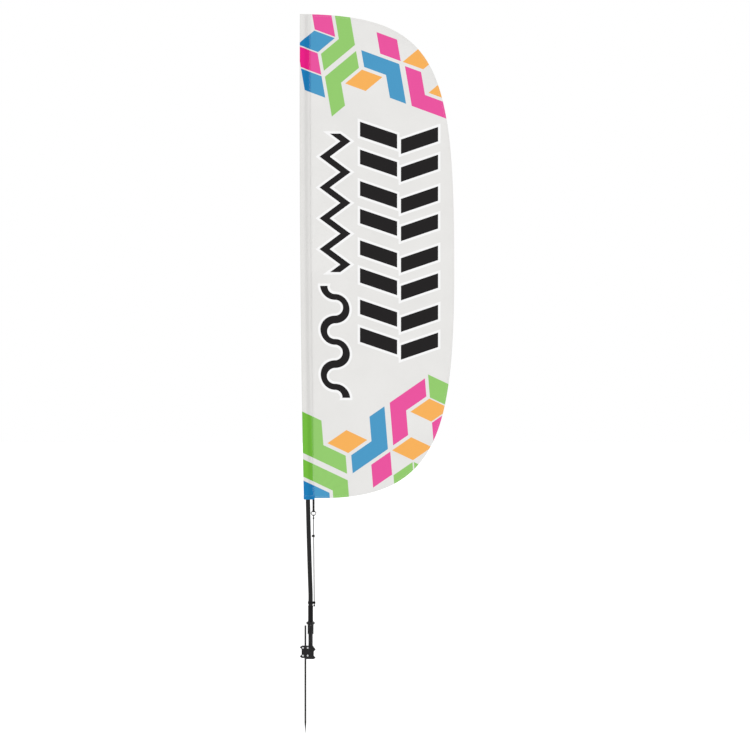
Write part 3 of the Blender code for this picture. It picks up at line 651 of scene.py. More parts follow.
def black_mask(board, grow):
    """1 inside the black shapes in the middle of the flag, grown by a margin.

    The wide column is a herringbone of bold bars. The narrow one is a zigzag over a serpentine band.
    """
    across = board.x - BARS_X
    rise = board.z - abs(across) * BAR_SLOPE
    left, right = None, None
    for middle in BAR_MIDDLES:
        reach = BAR_HALF + grow * math.hypot(1, BAR_SLOPE)
        one = rise.inside(middle - reach, middle + reach)
        two = (rise + BAR_DROP).inside(middle - reach, middle + reach)
        left = one if left is None else left + one
        right = two if right is None else right + two
    left = left * across.inside(-BARS_OUTER - grow, -BARS_INNER + grow)
    right = right * across.inside(BARS_INNER - grow, BARS_OUTER + grow)
    narrow = board.x - NARROW_X
    zigzag = (board.z - ZIGZAG_START).math("PINGPONG", ZIGZAG_REACH) * ZIGZAG_SLOPE
    zigzag = zigzag - ZIGZAG_REACH * ZIGZAG_SLOPE / 2
    zigzag = abs(narrow - zigzag).math("LESS_THAN", (ZIGZAG_HALF + grow) * math.hypot(1, ZIGZAG_SLOPE))
    zigzag = zigzag * board.z.inside(ZIGZAG_LOW - grow, ZIGZAG_HIGH + grow)
    half = (board.z * CURVE_BEAT).math("SINE") * CURVE_SWELL + (CURVE_HALF + grow)
    right_side = narrow.math("GREATER_THAN", 0.0)
    band = None
    for side, start in ((right_side, CURVE_FOOT), (1 - right_side, CURVE_FOOT + 2 * CURVE_RADIUS)):
        rise = (board.z - start).math("WRAP", 2 * CURVE_RADIUS, -2 * CURVE_RADIUS)
        ring = (narrow * narrow + rise * rise).math("SQRT") - CURVE_RADIUS
        half_ring = abs(ring).math("LESS_THAN", half) * side
        band = half_ring if band is None else band + half_ring
    band = band * board.z.inside(CURVE_FOOT - grow, CURVE_TOP + grow)
    return (left + right).math("MAXIMUM", zigzag).math("MAXIMUM", band)


def printed_cloth(name, base, inks, level, art=True):
    """Knitted polyester with the printed pattern, which shows paler on the single layer's back."""
    board = Board(name, Roughness=0.82, Sheen_Weight=0.06, Sheen_Roughness=0.45, Specular_IOR_Level=0.22)
    clouds = board.noise(5.0, 3.0)
    shade = board.mix(clouds.fade(0.3, 0.7), linear(base, level, 0.985), linear(base, level))
    groups = [
        (TOP_PATTERN, lattice(board, (0.0964, 2.8346), 9.8, 0.0989)),
        (FOOT_PATTERN, lattice(board, (0.1739, 0.9762), 4.65, 0.1046)),
    ]
    print_colours = shade
    for ink, tone in inks.items():
        mask = None
        for shapes, values in groups:
            found = pattern_mask(values, shapes[ink])
            mask = found if mask is None else mask.math("MAXIMUM", found)
        print_colours = board.mix(mask, print_colours, linear(tone, level))
    if art:
        print_colours = board.mix(black_mask(board, OUTLINE), print_colours, linear((247, 247, 247), level))
        print_colours = board.mix(black_mask(board, 0.0), print_colours, linear((20, 17, 18), level))
        facing = board.add("ShaderNodeTexCoord", {}, {}, "Normal")
        behind = board.add("ShaderNodeSeparateXYZ", {}, {0: facing}, "Y").math("GREATER_THAN", 0.0)
        shade = board.mix(behind * 0.12, print_colours, shade)
    else:
        shade = print_colours
    wales = (board.x * (2 * math.pi / (1.3 * MM))).math("SINE")
    courses = (board.z * (2 * math.pi / (1.1 * MM))).math("SINE")
    knit = wales * 0.5 + courses * wales * 0.5
    # Painted shade: the colour is darkened in the knit's gaps, where shade falls between the loops.
    gap_shade = knit.fade(-1.0, 0.2) * 0.09 + 0.92
    shade = board.add("ShaderNodeVectorMath", {"operation": "MULTIPLY"}, {0: shade, 1: gap_shade})
    fuzz = board.noise(900.0, 2.0)
    grain = board.bump(knit + fuzz, 0.09 * MM, 0.5)
    creases = board.noise(9.0, 4.0, 0.55, (1.0, 1.0, 0.45))
    soft = board.bump(creases, 3.5 * MM, 0.35, grain)
    return board.finish(Base_Color=shade, Normal=soft, Roughness=fuzz * 0.1 + 0.78)


PANEL_INKS = {
    "pink": (233, 80, 157),
    "green": (146, 202, 108),
    "blue": (71, 152, 197),
    "orange": (246, 176, 88),
}
SLEEVE_INKS = {
    "pink": (231, 8, 130),
    "green": (112, 184, 56),
    "blue": (4, 121, 181),
    "orange": (243, 158, 52),
}


def thread(name, shade, level):
    """Twisted sewing thread."""
    board = Board(name, Roughness=0.6, Sheen_Weight=0.2)
    twist = board.noise(2500.0, 1.0)
    colour = board.mix(twist, linear(shade, level, 0.93), linear(shade, level))
    return board.finish(Base_Color=colour, Normal=board.bump(twist, 0.05 * MM, 0.5))


def painted_metal(name, shade, roughness, orange_peel, wear, scuff=0.25, bare=(150, 150, 152)):
    """Black paint on metal, with a fine skin and bare metal showing at worn edges."""
    board = Board(name, Coat_Weight=0.2, Coat_Roughness=0.2, Specular_IOR_Level=0.12)
    skin = board.noise(orange_peel, 2.0)
    dust = board.noise(70.0, 4.0, 0.6)
    plain = board.add("ShaderNodeNewGeometry", {}, {}, "Normal")
    round_off = board.add("ShaderNodeBevel", {"samples": 4}, {"Radius": 0.7 * MM})
    edge = board.add("ShaderNodeVectorMath", {"operation": "DOT_PRODUCT"}, {0: plain, 1: round_off}, "Value")
    edge = (1 - edge).fade(0.01, 0.16)
    rub = edge * board.noise(300.0, 4.0, 0.6).fade(0.42, 0.60) * wear
    scratches = board.noise(240.0, 2.0, 0.5, (1.0, 1.0, 0.06)).fade(0.66 - scuff * 0.12, 0.76)
    rub = rub.math("MAXIMUM", scratches * (wear * scuff))
    paint = board.mix(dust.fade(0.35, 0.8), linear(shade), linear(shade, gain=1.8, lift=14))
    return board.finish(
        Base_Color=board.mix(rub, paint, linear(bare)),
        Metallic=rub,
        Roughness=dust * 0.16 + skin * 0.1 + (roughness - 0.12),
        Normal=board.bump(skin, 0.12 * MM, 0.7),
    )


def gloss_tube(name, shade):
    """Wound black fibreglass tube with a thin clear skin and faint lengthways grinding marks."""
    board = Board(name, Coat_Weight=0.3, Coat_Roughness=0.12, Specular_IOR_Level=0.12)
    streaks = board.noise(900.0, 3.0, 0.6, (1.0, 1.0, 0.02))
    winding = ((board.z * (2 * math.pi / (9 * MM))) + (board.x * 260.0) + (board.y * 260.0)).math("SINE")
    dust = board.noise(24.0, 4.0, 0.6)
    return board.finish(
        Base_Color=board.mix(dust.fade(0.4, 0.85), linear(shade), linear(shade, gain=1.4, lift=3)),
        Roughness=streaks * 0.12 + dust * 0.1 + 0.26,
        Normal=board.bump(streaks + winding * 0.15, 0.05 * MM, 0.4),
    )


def moulded_plastic(name, shade):
    """Spark-eroded black plastic."""
    board = Board(name, Specular_IOR_Level=0.14)
    pits = board.noise(1500.0, 2.0, 0.6)
    dust = board.noise(60.0, 3.0)
    return board.finish(
        Base_Color=board.mix(dust.fade(0.4, 0.8), linear(shade), linear(shade, gain=1.3, lift=3)),
        Roughness=pits * 0.12 + 0.46,
        Normal=board.bump(pits, 0.06 * MM, 0.6),
    )


def bright_metal(name, shade, roughness, grain):
    """Zinc plate or ground steel, a little cloudy. The grain is how the marks are stretched."""
    board = Board(name, Metallic=1.0)
    clouds = board.noise(260.0, 3.0, 0.6)
    lines = board.noise(2200.0, 2.0, 0.5, grain)
    return board.finish(
        Base_Color=board.mix(clouds, linear(shade, gain=0.86), linear(shade)),
        Roughness=clouds * 0.14 + lines * 0.06 + (roughness - 0.1),
        Normal=board.bump(lines, 0.02 * MM, 0.4),
    )


def webbing(name, shade):
    """Ribbed polyester webbing, woven in a herringbone."""
    board = Board(name, Roughness=0.8, Sheen_Weight=0.25, Specular_IOR_Level=0.25)
    along = board.z * (2 * math.pi / (1.1 * MM))
    slant = (board.x * (1 / (2.25 * MM))).math("PINGPONG", 1.0) * (2 * math.pi)
    ribs = (along + slant).math("SINE")
    fuzz = board.noise(1800.0, 2.0)
    return board.finish(
        # Painted shade and highlight: darker in the grooves between the ribs, lighter on their tops.
        Base_Color=board.mix(ribs.fade(-1.0, 1.0), linear(shade), linear(shade, gain=1.5, lift=6)),
        Normal=board.bump(ribs + fuzz, 0.16 * MM, 0.8),
        Roughness=fuzz * 0.15 + 0.72,
    )


def cord_cover(name, shade):
    """Braided polyester cord cover."""
    board = Board(name, Roughness=0.75, Sheen_Weight=0.3, Specular_IOR_Level=0.25)
    fibres = board.noise(2600.0, 2.0, 0.5, (1.0, 1.0, 0.35))
    return board.finish(
        Base_Color=board.mix(fibres, linear(shade), linear(shade, gain=1.7, lift=8)),
        Normal=board.bump(fibres, 0.08 * MM, 0.8),
        Roughness=fibres * 0.2 + 0.62,
    )


# ---------------------------------------------------------------- settings


class FeatherCloth(bpy.types.PropertyGroup):
    wave_height: bpy.props.FloatProperty(
        name="Wave Height",
        description="How far the slack waves of the cloth stand out",
        default=3.5 * MM,
        min=0.0,
        unit="LENGTH",
    )
    thickness: bpy.props.FloatProperty(
        name="Cloth Thickness",
        description="Thickness of one layer of the knitted cloth",
        default=0.5 * MM,
        unit="LENGTH",
    )
    hem_width: bpy.props.FloatProperty(
        name="Hem Width",
        description="Width of the turned hem along the free edge",
        default=9 * MM,
        unit="LENGTH",
    )
    stitch_pitch: bpy.props.FloatProperty(
        name="Stitch Pitch",
        description="Distance from one stitch to the next",
        default=3.6 * MM,
        unit="LENGTH",
    )
    level: bpy.props.FloatProperty(
        name="Print Level",
        description="How much of the light the printed cloth gives back, as a share",
        default=0.75,
        subtype="FACTOR",
    )
    base: bpy.props.FloatVectorProperty(
        name="Cloth Colour",
        description="Colour of the unprinted cloth, each channel from 0 to 255",
        default=(232.0, 231.0, 229.0),
    )
    sleeve_base: bpy.props.FloatVectorProperty(
        name="Sleeve Colour",
        description="Colour of the sleeve's double layer, each channel from 0 to 255",
        default=(226.0, 225.0, 223.0),
    )


class FeatherHardware(bpy.types.PropertyGroup):
    paint: bpy.props.FloatVectorProperty(
        name="Paint Colour",
        description="Colour of the painted metal, each channel from 0 to 255",
        default=(6.0, 5.0, 6.0),
    )
    tube: bpy.props.FloatVectorProperty(
        name="Tube Colour",
        description="Colour of the pole, each channel from 0 to 255",
        default=(5.0, 4.0, 5.0),
    )
    cord_radius: bpy.props.FloatProperty(
        name="Cord Radius",
        description="Half the thickness of the tether cord",
        default=2.0 * MM,
        unit="LENGTH",
    )


class FeatherStage(bpy.types.PropertyGroup):
    view_width: bpy.props.FloatProperty(
        name="View Width",
        description="Width that the camera takes in at the flag",
        default=3.1875,
        unit="LENGTH",
    )
    distance: bpy.props.FloatProperty(
        name="Camera Distance",
        description="Distance from the camera to the flag",
        default=14.0,
        unit="LENGTH",
    )
    key_strength: bpy.props.FloatProperty(
        name="Key Light",
        description="Strength of the large soft lamp in front",
        default=1.1,
        min=0.0,
    )


def look(name):
    """A material by its name, made at its first use."""
    if name in bpy.data.materials:
        return bpy.data.materials[name]
    cloth = bpy.context.scene.feather_cloth
    paint = tuple(bpy.context.scene.feather_hardware.paint)
    makers = {
        "panel_knit": (printed_cloth, cloth.base, PANEL_INKS, cloth.level),
        "sleeve_knit_print": (printed_cloth, cloth.sleeve_base, SLEEVE_INKS, cloth.level, False),
        "sewing_thread": (thread, (238, 237, 235), cloth.level),
        "black_thread": (thread, (32, 31, 32), 1.0),
        "paint": (painted_metal, paint, 0.34, 900.0, 0.6),
        "spike_paint": (painted_metal, tuple(c + 16 for c in paint), 0.3, 800.0, 0.8, 0.8),
        "cast": (painted_metal, paint, 0.40, 650.0, 0.8),
        "tube": (gloss_tube, tuple(bpy.context.scene.feather_hardware.tube)),
        "plastic": (moulded_plastic, (9, 8, 9)),
        "zinc": (bright_metal, (205, 206, 208), 0.28, (1.0, 0.1, 1.0)),
        "steel": (bright_metal, (196, 198, 200), 0.24, (1.0, 1.0, 0.05)),
        "strap": (webbing, (11, 10, 11)),
        "cord": (cord_cover, (11, 10, 11)),
    }
    maker, *values = makers[name]
    return maker(name, *values)


# ---------------------------------------------------------------- operators


class FEATHER_OT_panel(bpy.types.Operator):
    """Make the single layer of cloth with its turned and stitched hem"""

    bl_idname = "feather.panel"
    bl_label = "Flag Cloth"

    def execute(self, context):
        props = context.scene.feather_cloth
        rows, columns = 440, 48
        fly, _ = fly_line(rows)
        shape = Shape()
        grid = []
        for index, end in enumerate(fly):
            share = index / (rows - 1)
            z = FLAG_TOP + (FLAG_FOOT - FLAG_TOP) * share
            tuck = max(0.0, 1 - index / 6) * 1.8 * MM
            start = Vector((seam_x(z) - 5 * MM, z - tuck))
            row = []
            for column in range(columns):
                across = 1 - (1 - column / (columns - 1)) ** 1.5
                point = start.lerp(end, across)
                row.append(Vector((point.x, cloth_y(point.x, point.y), point.y)))
            grid.append(row)
        shape.rings(grid, around=False)
        self.surface = BVHTree.FromPolygons(shape.points, shape.faces)
        panel = shape.make("flag_cloth", "panel_knit", "pole", "flag_panel", 60)
        layered(panel, props.thickness)
        hem, stitches = self.hem(props, fly)
        outline = [Vector((seam_x(FLAG_FOOT), FLAG_FOOT)), *reversed(fly)]
        outline += [Vector((seam_x(z), z)) for z in (2.5, 2.2, 1.9, 1.6, 1.3, 1.0)]
        return {"FINISHED"}

    def height(self, x, z):
        """Y of the made cloth at a place, or of its nearest edge."""
        found = self.surface.ray_cast(Vector((x, -1, z)), Vector((0, 1, 0)))[0]
        if found is None:
            found = self.surface.find_nearest(Vector((x, 0, z)))[0]
        return found.y

    def hem(self, props, fly):
        """The hem's turned strip behind the free edge, and its stitches on both sides."""
        hem = Shape()
        sewn = Shape()
        half = props.thickness / 2
        width = props.hem_width
        rows = []
        edge = [*fly, Vector((seam_x(FLAG_FOOT) + 0.5 * MM, FLAG_FOOT))]
        edge, length = evenly(edge, len(fly))
        for index in range(4, len(edge)):
            ahead = (edge[min(index + 1, len(edge) - 1)] - edge[index - 1]).normalized()
            inward = Vector((ahead.y, -ahead.x))
            row = []
            for share, lift in ((0.0, 0.0), (0.03, 1.1), (0.17, 2.0), (0.67, 2.1), (1.0, 1.9), (1.01, 1.0)):
                point = edge[index] + inward * width * share
                row.append(Vector((point.x, self.height(point.x, point.y) + half * lift, point.y)))
            rows.append(row)
        hem.rings(rows, around=False)
        piece = hem.make("fly_hem", "panel_knit", "pole", angle=60)
        layered(piece, props.thickness * 0.7)
        line, _ = evenly(edge, int(length / props.stitch_pitch))
        for index in range(3, len(line) - 1):
            ahead = (line[index + 1] - line[index - 1]).normalized()
            point = line[index] + Vector((ahead.y, -ahead.x)) * (width - 2 * MM)
            y = self.height(point.x, point.y)
            along = Vector((ahead.x, 0, ahead.y))
            for side, lift in ((-1, half), (1, half * 3.0)):
                spot = Vector((point.x, y + side * lift, point.y))
                sewn.stitch(spot, along, Vector((0, side, 0)))
        stitches = sewn.make("fly_hem_stitches", "sewing_thread", "pole", angle=60, weld=False)
        return piece, stitches


def sleeve_half(z, puff=0.0):
    """The back half of the sleeve's section at a height, from the hoist to the seam."""
    share = (z - SLEEVE_LOW.z) / (FLAG_TOP - SLEEVE_LOW.z)
    depth = (11.9 - 1.5 * share) * MM + puff
    hoist = 17.5 * MM + puff
    flat = 0.85 * MM + puff * 0.5
    section = []
    for step in range(15):
        turn = math.pi - math.pi / 2 * step / 14
        section.append((hoist * math.cos(turn), depth * math.sin(turn)))
    for step in range(1, 15):
        t = step / 14
        section.append((21.5 * MM * t, flat + (depth - flat) * (1 - t * t * (3 - 2 * t))))
    section += [(25 * MM, flat), (SEAM + puff, flat)]
    return section


def sleeve_depth(z, x):
    """Half the sleeve's depth at a distance from the pole's axis."""
    section = sleeve_half(z)
    for (x1, y1), (x2, y2) in zip(section, section[1:]):
        if x1 <= x <= x2:
            return y1 + (y2 - y1) * (x - x1) / max(x2 - x1, 1e-9)
    return section[-1][1]


def sleeve_top(z):
    """How much of its depth the sleeve keeps as it closes at the top."""
    share = max(0.0, (z - (FLAG_TOP - CLOSING)) / CLOSING)
    return math.sqrt(max(0.0, 1 - share * share))


def sleeve_point(z, x, y, side):
    """A point of the sleeve, with its small creases."""
    wrinkle = noise.noise(Vector((x * 40, side * 3.0, z * 26))) * 0.55 * MM
    wrinkle += noise.noise(Vector((x * 90, side * 7.0, z * 90))) * 0.18 * MM
    calm = smooth(abs(y), 0.8 * MM, 5 * MM)
    y = max(0.55 * MM, y * sleeve_top(z)) + wrinkle * calm * smooth(FLAG_TOP - z, 0.0, 0.02)
    return Vector((pole_x(z) + x, side * y, z))


def sleeve_row(z, puff=0.0):
    """The sleeve's whole section at a height."""
    section = sleeve_half(z, puff)
    front = [sleeve_point(z, x, y, -1) for x, y in section]
    back = [sleeve_point(z, x, y, 1) for x, y in reversed(section[1:])]
    front[0].y = 0
    return front + back


class FEATHER_OT_sleeve(bpy.types.Operator):
    """Make the pole sleeve with its hem, its seam and the stitches"""

    bl_idname = "feather.sleeve"
    bl_label = "Pole Sleeve"

    def execute(self, context):
        props = context.scene.feather_cloth
        span = FLAG_TOP - SLEEVE_LOW.z
        levels = {SLEEVE_LOW.z + span * step / 420 for step in range(418)}
        levels |= {FLAG_TOP - CLOSING * (1 - step / 8) for step in range(9)}
        rows = [sleeve_row(z) for z in sorted(levels)]
        shape = Shape()
        shape.rings(rows)
        count = len(rows[-1])
        top = len(shape.points) - count
        for index in range(count // 2):
            near, far = (count - index) % count, count - index - 1
            corners = [top + index, top + index + 1, top + far, top + near]
            shape.faces.append(tuple(corners if index else corners[:3]))
        sleeve = shape.make("sleeve_cloth", "sleeve_knit_print", "pole", "pole_sleeve", 60)
        layered(sleeve, props.thickness, -1)
        hem = self.hem()
        stitches = self.stitches(props.stitch_pitch)
        section = sleeve_half(1.7)
        return {"FINISHED"}

    def hem(self):
        """The turned band at the sleeve's open foot."""
        shape = Shape()
        profile = ((0.0, 0.0), (0.05, 0.42), (1.2, 0.6), (9, 0.6), (18, 0.55), (18.4, 0.1))
        shape.rings([sleeve_row(SLEEVE_LOW.z + rise * MM, puff * MM) for rise, puff in profile])
        hem = shape.make("sleeve_hem", "sleeve_knit_print", "pole", angle=60)
        layered(hem, 0.3 * MM, -1)
        return hem

    def stitches(self, pitch):
        """Two rows along the seam, one round the foot and one across the top."""
        sewn = Shape()
        low, high = SLEEVE_LOW.z + 21 * MM, FLAG_TOP - 5 * MM
        count = int((high - low) / pitch)
        for index in range(count):
            z = low + (high - low) * index / count
            x, slope = pole_path(z)
            for across in (23.3 * MM, 26.4 * MM):
                for side in (-1, 1):
                    spot = Vector((x + across, side * 0.92 * MM, z))
                    sewn.stitch(spot, Vector((slope, 0, 1)), Vector((0, side, 0)), STITCH, FINE_THREAD)
        z = SLEEVE_LOW.z + 15.5 * MM
        ring = sleeve_row(z, 0.6 * MM)
        line, _ = evenly([*ring, ring[0]], 34)
        middle = Vector((pole_x(z) + 4 * MM, 0, z))
        for first, second in zip(line, line[1:]):
            ahead = second - first
            spot = (first + second) / 2
            out = Vector((ahead.y, -ahead.x, 0))
            if out.dot(spot - middle) < 0:
                out = -out
            sewn.stitch(spot, ahead, out, 2.5 * MM, FINE_THREAD)
        z = FLAG_TOP - 3 * MM
        for index in range(11):
            x = pole_x(z) + (-14.5 + index * 3.8) * MM
            y = sleeve_depth(z, x - pole_x(z)) * sleeve_top(z) + 0.1 * MM
            for side in (-1, 1):
                spot = Vector((x, side * y, z))
                sewn.stitch(spot, Vector((1, 0, 0)), Vector((0, side, 0.6)), 2.5 * MM, FINE_THREAD)
        return sewn.make("sleeve_stitches", "sewing_thread", "pole", angle=60, weld=False)


class FEATHER_OT_spike(bpy.types.Operator):
    """Make the ground spike"""

    bl_idname = "feather.spike"
    bl_label = "Ground Spike"

    def execute(self, context):
        radius = SPIKE_RADIUS
        top, foot = SPIKE_HIGH.z, SPIKE_LOW.z
        profile = [(0, top), (radius, top), (radius, foot + 45 * MM), (0.5 * MM, foot + 1 * MM), (0, foot)]
        rounded = eased(profile, 1.1 * MM, 5)
        line = []
        for (r1, z1), (r2, z2) in zip(rounded, rounded[1:]):
            parts = max(1, int(abs(z2 - z1) / (12 * MM)))
            for step in range(parts):
                t = step / parts
                line.append((r1 + (r2 - r1) * t, z1 + (z2 - z1) * t))
        line.append(rounded[-1])
        turned(line, upright(0), 48).make("spike_rod", "spike_paint", "spike", "ground_spike")
        return {"FINISHED"}


class FEATHER_OT_clamp(bpy.types.Operator):
    """Make the two clamp jaws, their bolts, washers and nuts"""

    bl_idname = "feather.clamp"
    bl_label = "Clamp"

    def execute(self, context):
        self.jaw("front_jaw", -1)
        self.jaw("back_jaw", 1)
        for number, (x, z) in enumerate(BOLTS, 1):
            turn = Matrix.Translation((x, 0, z)) @ FACING
            for kind, profile, sides, ring, angle in (
                ("bolt", self.bolt(), 48, False, 30),
                ("washer", self.washer(), 48, True, 35),
                ("nut", self.nut(), 96, True, 25),
            ):
                shape = turned(profile, upright(0), sides, ring)
                shape.points = [turn @ point for point in shape.points]
                shape.make(f"{kind}_{number}", "zinc", "clamp", f"clamp_{kind}_{number}", angle)
        return {"FINISHED"}

    def outline(self):
        """The jaws' front view: four pointed ears round a waist, lower on the stud's side."""
        top = JAW_HIGH.z
        left, right = JAW_LOW.x + 8 * MM, JAW_HIGH.x - 8 * MM
        return [
            (left - 8 * MM, top - 7 * MM),
            (left + 1 * MM, top),
            (SWIVEL_X + 9.4 * MM, top),
            (right + 8 * MM, top - 16.8 * MM),
            (right, top - 23.8 * MM),
            (right, 14 * MM),
            (right + 8 * MM, 4.9 * MM),
            (right - 1 * MM, 0),
            (4 * MM, 0),
            (-4 * MM, 4.5 * MM),
            (left + 1 * MM, 4.5 * MM),
            (left - 8 * MM, 11.5 * MM),
            (left, 18.5 * MM),
            (left, top - 14 * MM),
        ]

    def jaw(self, name, side):
        """One jaw, with its half-round boss over the stud and its bores."""
        inner, outer = 0.75 * MM, 8 * MM
        outline = eased(self.outline(), 1.6 * MM, 4, closed=True)
        place_at = Matrix.Translation((0, side * (inner + outer) / 2, 0)) @ FACING
        jaw = place(name, solid_of([outline], outer - inner, 0.7 * MM, place_at), "cast")
        middle = (JAW_HIGH.z - 4.5 * MM) / 2
        reach = (JAW_HIGH.z - 18 * MM) / 2
        boss = rod(STUD_RADIUS + 4.5 * MM, -reach, reach, 64, 2.2 * MM)
        boss.location = (SWIVEL_X, 0, middle)
        cube = bmesh.new()
        bmesh.ops.create_cube(cube, size=1.0)
        block = linked("keep", bpy.data.meshes.new("keep"))
        cube.to_mesh(block.data)
        cube.free()
        block.scale = (0.1, 0.02, 0.2)
        block.location = (SWIVEL_X, side * (7 * MM + 0.01), middle)
        carve(boss, [block], "INTERSECT")
        carve(jaw, [boss], "UNION")
        tools = []
        for x, radius in ((0, SPIKE_RADIUS), (SWIVEL_X, STUD_RADIUS)):
            bore = rod(radius + GAP, -0.02, JAW_HIGH.z + 0.02)
            bore.location.x = x
            tools.append(bore)
        for x, z in BOLTS:
            hole = rod(BOLT_HOLE, -0.02, 0.02, 32)
            hole.rotation_euler.x = math.pi / 2
            hole.location = (x, 0, z)
            tools.append(hole)
        carve(jaw, tools)
        mesh = jaw.data
        mesh.name = name
        bpy.data.objects.remove(jaw, do_unlink=True)
        evenly_shaded(place(name, mesh, "cast", "clamp", f"clamp_{name}", 32))

    def bolt(self):
        """A round-headed socket bolt with a threaded tail, as a profile along its axis."""
        head, tail = 8.3 * MM, -15.2 * MM
        radius, flats = 4.2 * MM, 3 * MM
        dome = [
            (radius * math.sin(turn), head + 0.5 * MM + 2.3 * MM * math.cos(turn))
            for turn in (math.pi / 2 * step / 12 for step in range(6, 13))
        ]
        lip = dome[0][1] + 0.35 * MM
        profile = [(0, head + 0.8 * MM), (flats, head + 0.8 * MM, flats), (flats, lip - 0.15 * MM, flats)]
        profile += [(flats * 1.1, lip, flats * 1.06), (2.35 * MM, lip - 0.02 * MM), *dome]
        profile += [(radius, head + 0.15 * MM), (4.05 * MM, head), (BOLT_RADIUS, head)]
        height = -4 * MM
        while height > tail + 1.0 * MM:
            profile += [(BOLT_RADIUS, height), (2.15 * MM, height - 0.35 * MM)]
            height -= 0.7 * MM
        return profile + [(2.2 * MM, tail + 0.4 * MM), (1.8 * MM, tail), (0, tail)]

    def washer(self):
        """A flat washer behind the back jaw."""
        low, high = 8.3 * MM, 9.3 * MM
        profile = [(BOLT_HOLE, -low), (5 * MM, -low), (5 * MM, -high), (BOLT_HOLE, -high)]
        return eased(profile, 0.25 * MM, 3, closed=True)

    def nut(self):
        """A hexagon nut with turned corners and a countersunk bore."""
        low, high = -13.6 * MM, -9.6 * MM
        corner, bore, sink, face = 4.6 * MM, 2.75 * MM, 3.2 * MM, 3.95 * MM
        flats = 2 * corner * math.cos(math.pi / 6)
        rounding = ((0.93, 0.16 * MM), (0.98, 0.34 * MM), (1, 0.5 * MM))
        profile = [(sink, high), (face, high, flats)]
        profile += [(corner * share, high - drop, flats) for share, drop in rounding]
        profile += [(corner * share, low + drop, flats) for share, drop in reversed(rounding)]
        return profile + [(face, low, flats), (sink, low), (bore, low + 0.45 * MM), (bore, high - 0.45 * MM)]


class FEATHER_OT_swivel(bpy.types.Operator):
    """Make the bearing housing, the post and the collar"""

    bl_idname = "feather.swivel"
    bl_label = "Swivel"

    def execute(self, context):
        path = upright(SWIVEL_X)
        housing = turned(eased(self.housing(), 0.9 * MM, 4), path, 72)
        housing.make("bearing_housing", "paint", "clamp", "swivel_housing")
        post = turned(eased(self.post(), 0.8 * MM, 4), path, 64)
        post.make("pole_post", "paint", "swivel", "spindle")
        collar = turned(eased(self.collar(), 0.7 * MM, 4, closed=True), path, 80, ring=True)
        collar.make("collar", "paint", "swivel", "swivel_flange")
        return {"FINISHED"}

    def housing(self):
        """The cup for the bearings, with a groove round it, its neck and its stud."""
        top = HOUSING_HIGH.z
        neck_foot = JAW_HIGH.z + GAP
        foot = top - 38 * MM
        outer = HOUSING_HIGH.x - SWIVEL_X
        seat = outer - 1.6 * MM
        chamber = foot + 2.8 * MM
        groove = top - 6 * MM
        return [
            (0, chamber),
            (9.7 * MM, chamber),
            (9.7 * MM, chamber + 3.3 * MM),
            (seat, chamber + 3.3 * MM),
            (seat, top),
            (outer, top),
            (outer, groove),
            (outer - 0.35 * MM, groove - 0.3 * MM),
            (outer, groove - 0.6 * MM),
            (outer, foot),
            (9.4 * MM, foot),
            (9.4 * MM, neck_foot),
            (STUD_RADIUS, neck_foot),
            (STUD_RADIUS, 1 * MM),
            (0, 1 * MM),
        ]

    def post(self):
        """The shaft in the bearings and the post above it."""
        top, foot = POST_HIGH.z, POST_LOW.z
        radius = POST_HIGH.x - SWIVEL_X
        return [
            (0, top),
            (radius - 2 * MM, top),
            (radius, top - 3 * MM),
            (radius, FLANGE_LOW.z),
            (3.9 * MM, FLANGE_LOW.z),
            (3.9 * MM, foot),
            (0, foot),
        ]

    def collar(self):
        """The collar under the pole, with its sharp rim."""
        foot, top = FLANGE_LOW.z, FLANGE_HIGH.z
        radius = FLANGE_HIGH.x - SWIVEL_X
        bore = POST_HIGH.x - SWIVEL_X + GAP
        rim = foot + 0.52 * (top - foot)
        return [
            (bore, top),
            (12 * MM, top),
            (radius, rim + 0.9 * MM),
            (radius, rim - 0.9 * MM),
            (13.5 * MM, foot + 1.2 * MM),
            (13.5 * MM, foot),
            (bore, foot),
        ]


class FEATHER_OT_pole(bpy.types.Operator):
    """Make the lower pole and its foot, and finish what is inside the sleeve and the housing"""

    bl_idname = "feather.pole"
    bl_label = "Pole"

    def execute(self, context):
        foot, top = POLE_LOW.z, POLE_HIGH.z
        steps = 110
        rise = [foot + 1 * MM + (top - foot - 2 * MM) * step / steps for step in range(steps + 1)]
        outside = [(POLE_RADIUS, z) for z in rise]
        inside = [(POLE_BORE, z) for z in reversed(rise)]
        profile = [(9.1 * MM, foot + 0.1 * MM), *outside, (9.0 * MM, top), (8.6 * MM, top)]
        profile += [*inside, (8.7 * MM, foot + 0.1 * MM)]
        turned(profile, pole_path, 56, ring=True).make("pole_tube", "tube", "pole", "lower_pole")
        socket = turned(eased(self.socket(), 0.35 * MM, 3, closed=True), upright(SWIVEL_X), 64, ring=True)
        socket.make("pole_socket", "plastic", "pole", "pole_base_sleeve")
        bearings = [
            f"{level}_bearing_{part}"
            for level in ("lower", "upper")
            for part in ("outer_ring", "inner_ring", "cage")
        ]
        finishes = {
            "tube": ("middle_pole", "upper_pole"),
            "plastic": ("pole_tip_cap",),
            "strap": ("sleeve_top_pocket",),
            "zinc": ("lower_ferrule", "upper_ferrule", "bearing_spacer", "spindle_clip", "thrust_washer"),
            "steel": bearings,
        }
        for finish, nodes in finishes.items():
            for node in nodes:
                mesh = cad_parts[node].data
                mesh.materials.clear()
                mesh.materials.append(look(finish))
        return {"FINISHED"}

    def socket(self):
        """The plastic foot sleeve, with a lip at each end."""
        low, high = SOCKET_LOW.z, SOCKET_HIGH.z
        outer = SOCKET_HIGH.x - SWIVEL_X
        return [
            (POLE_FIT, high),
            (outer - 0.25 * MM, high),
            (outer, high - 1.2 * MM),
            (outer, high - 4 * MM),
            (outer - 0.3 * MM, high - 4.8 * MM),
            (outer - 0.3 * MM, low + 5.8 * MM),
            (outer, low + 5 * MM),
            (outer, low),
            (POLE_FIT, low),
        ]


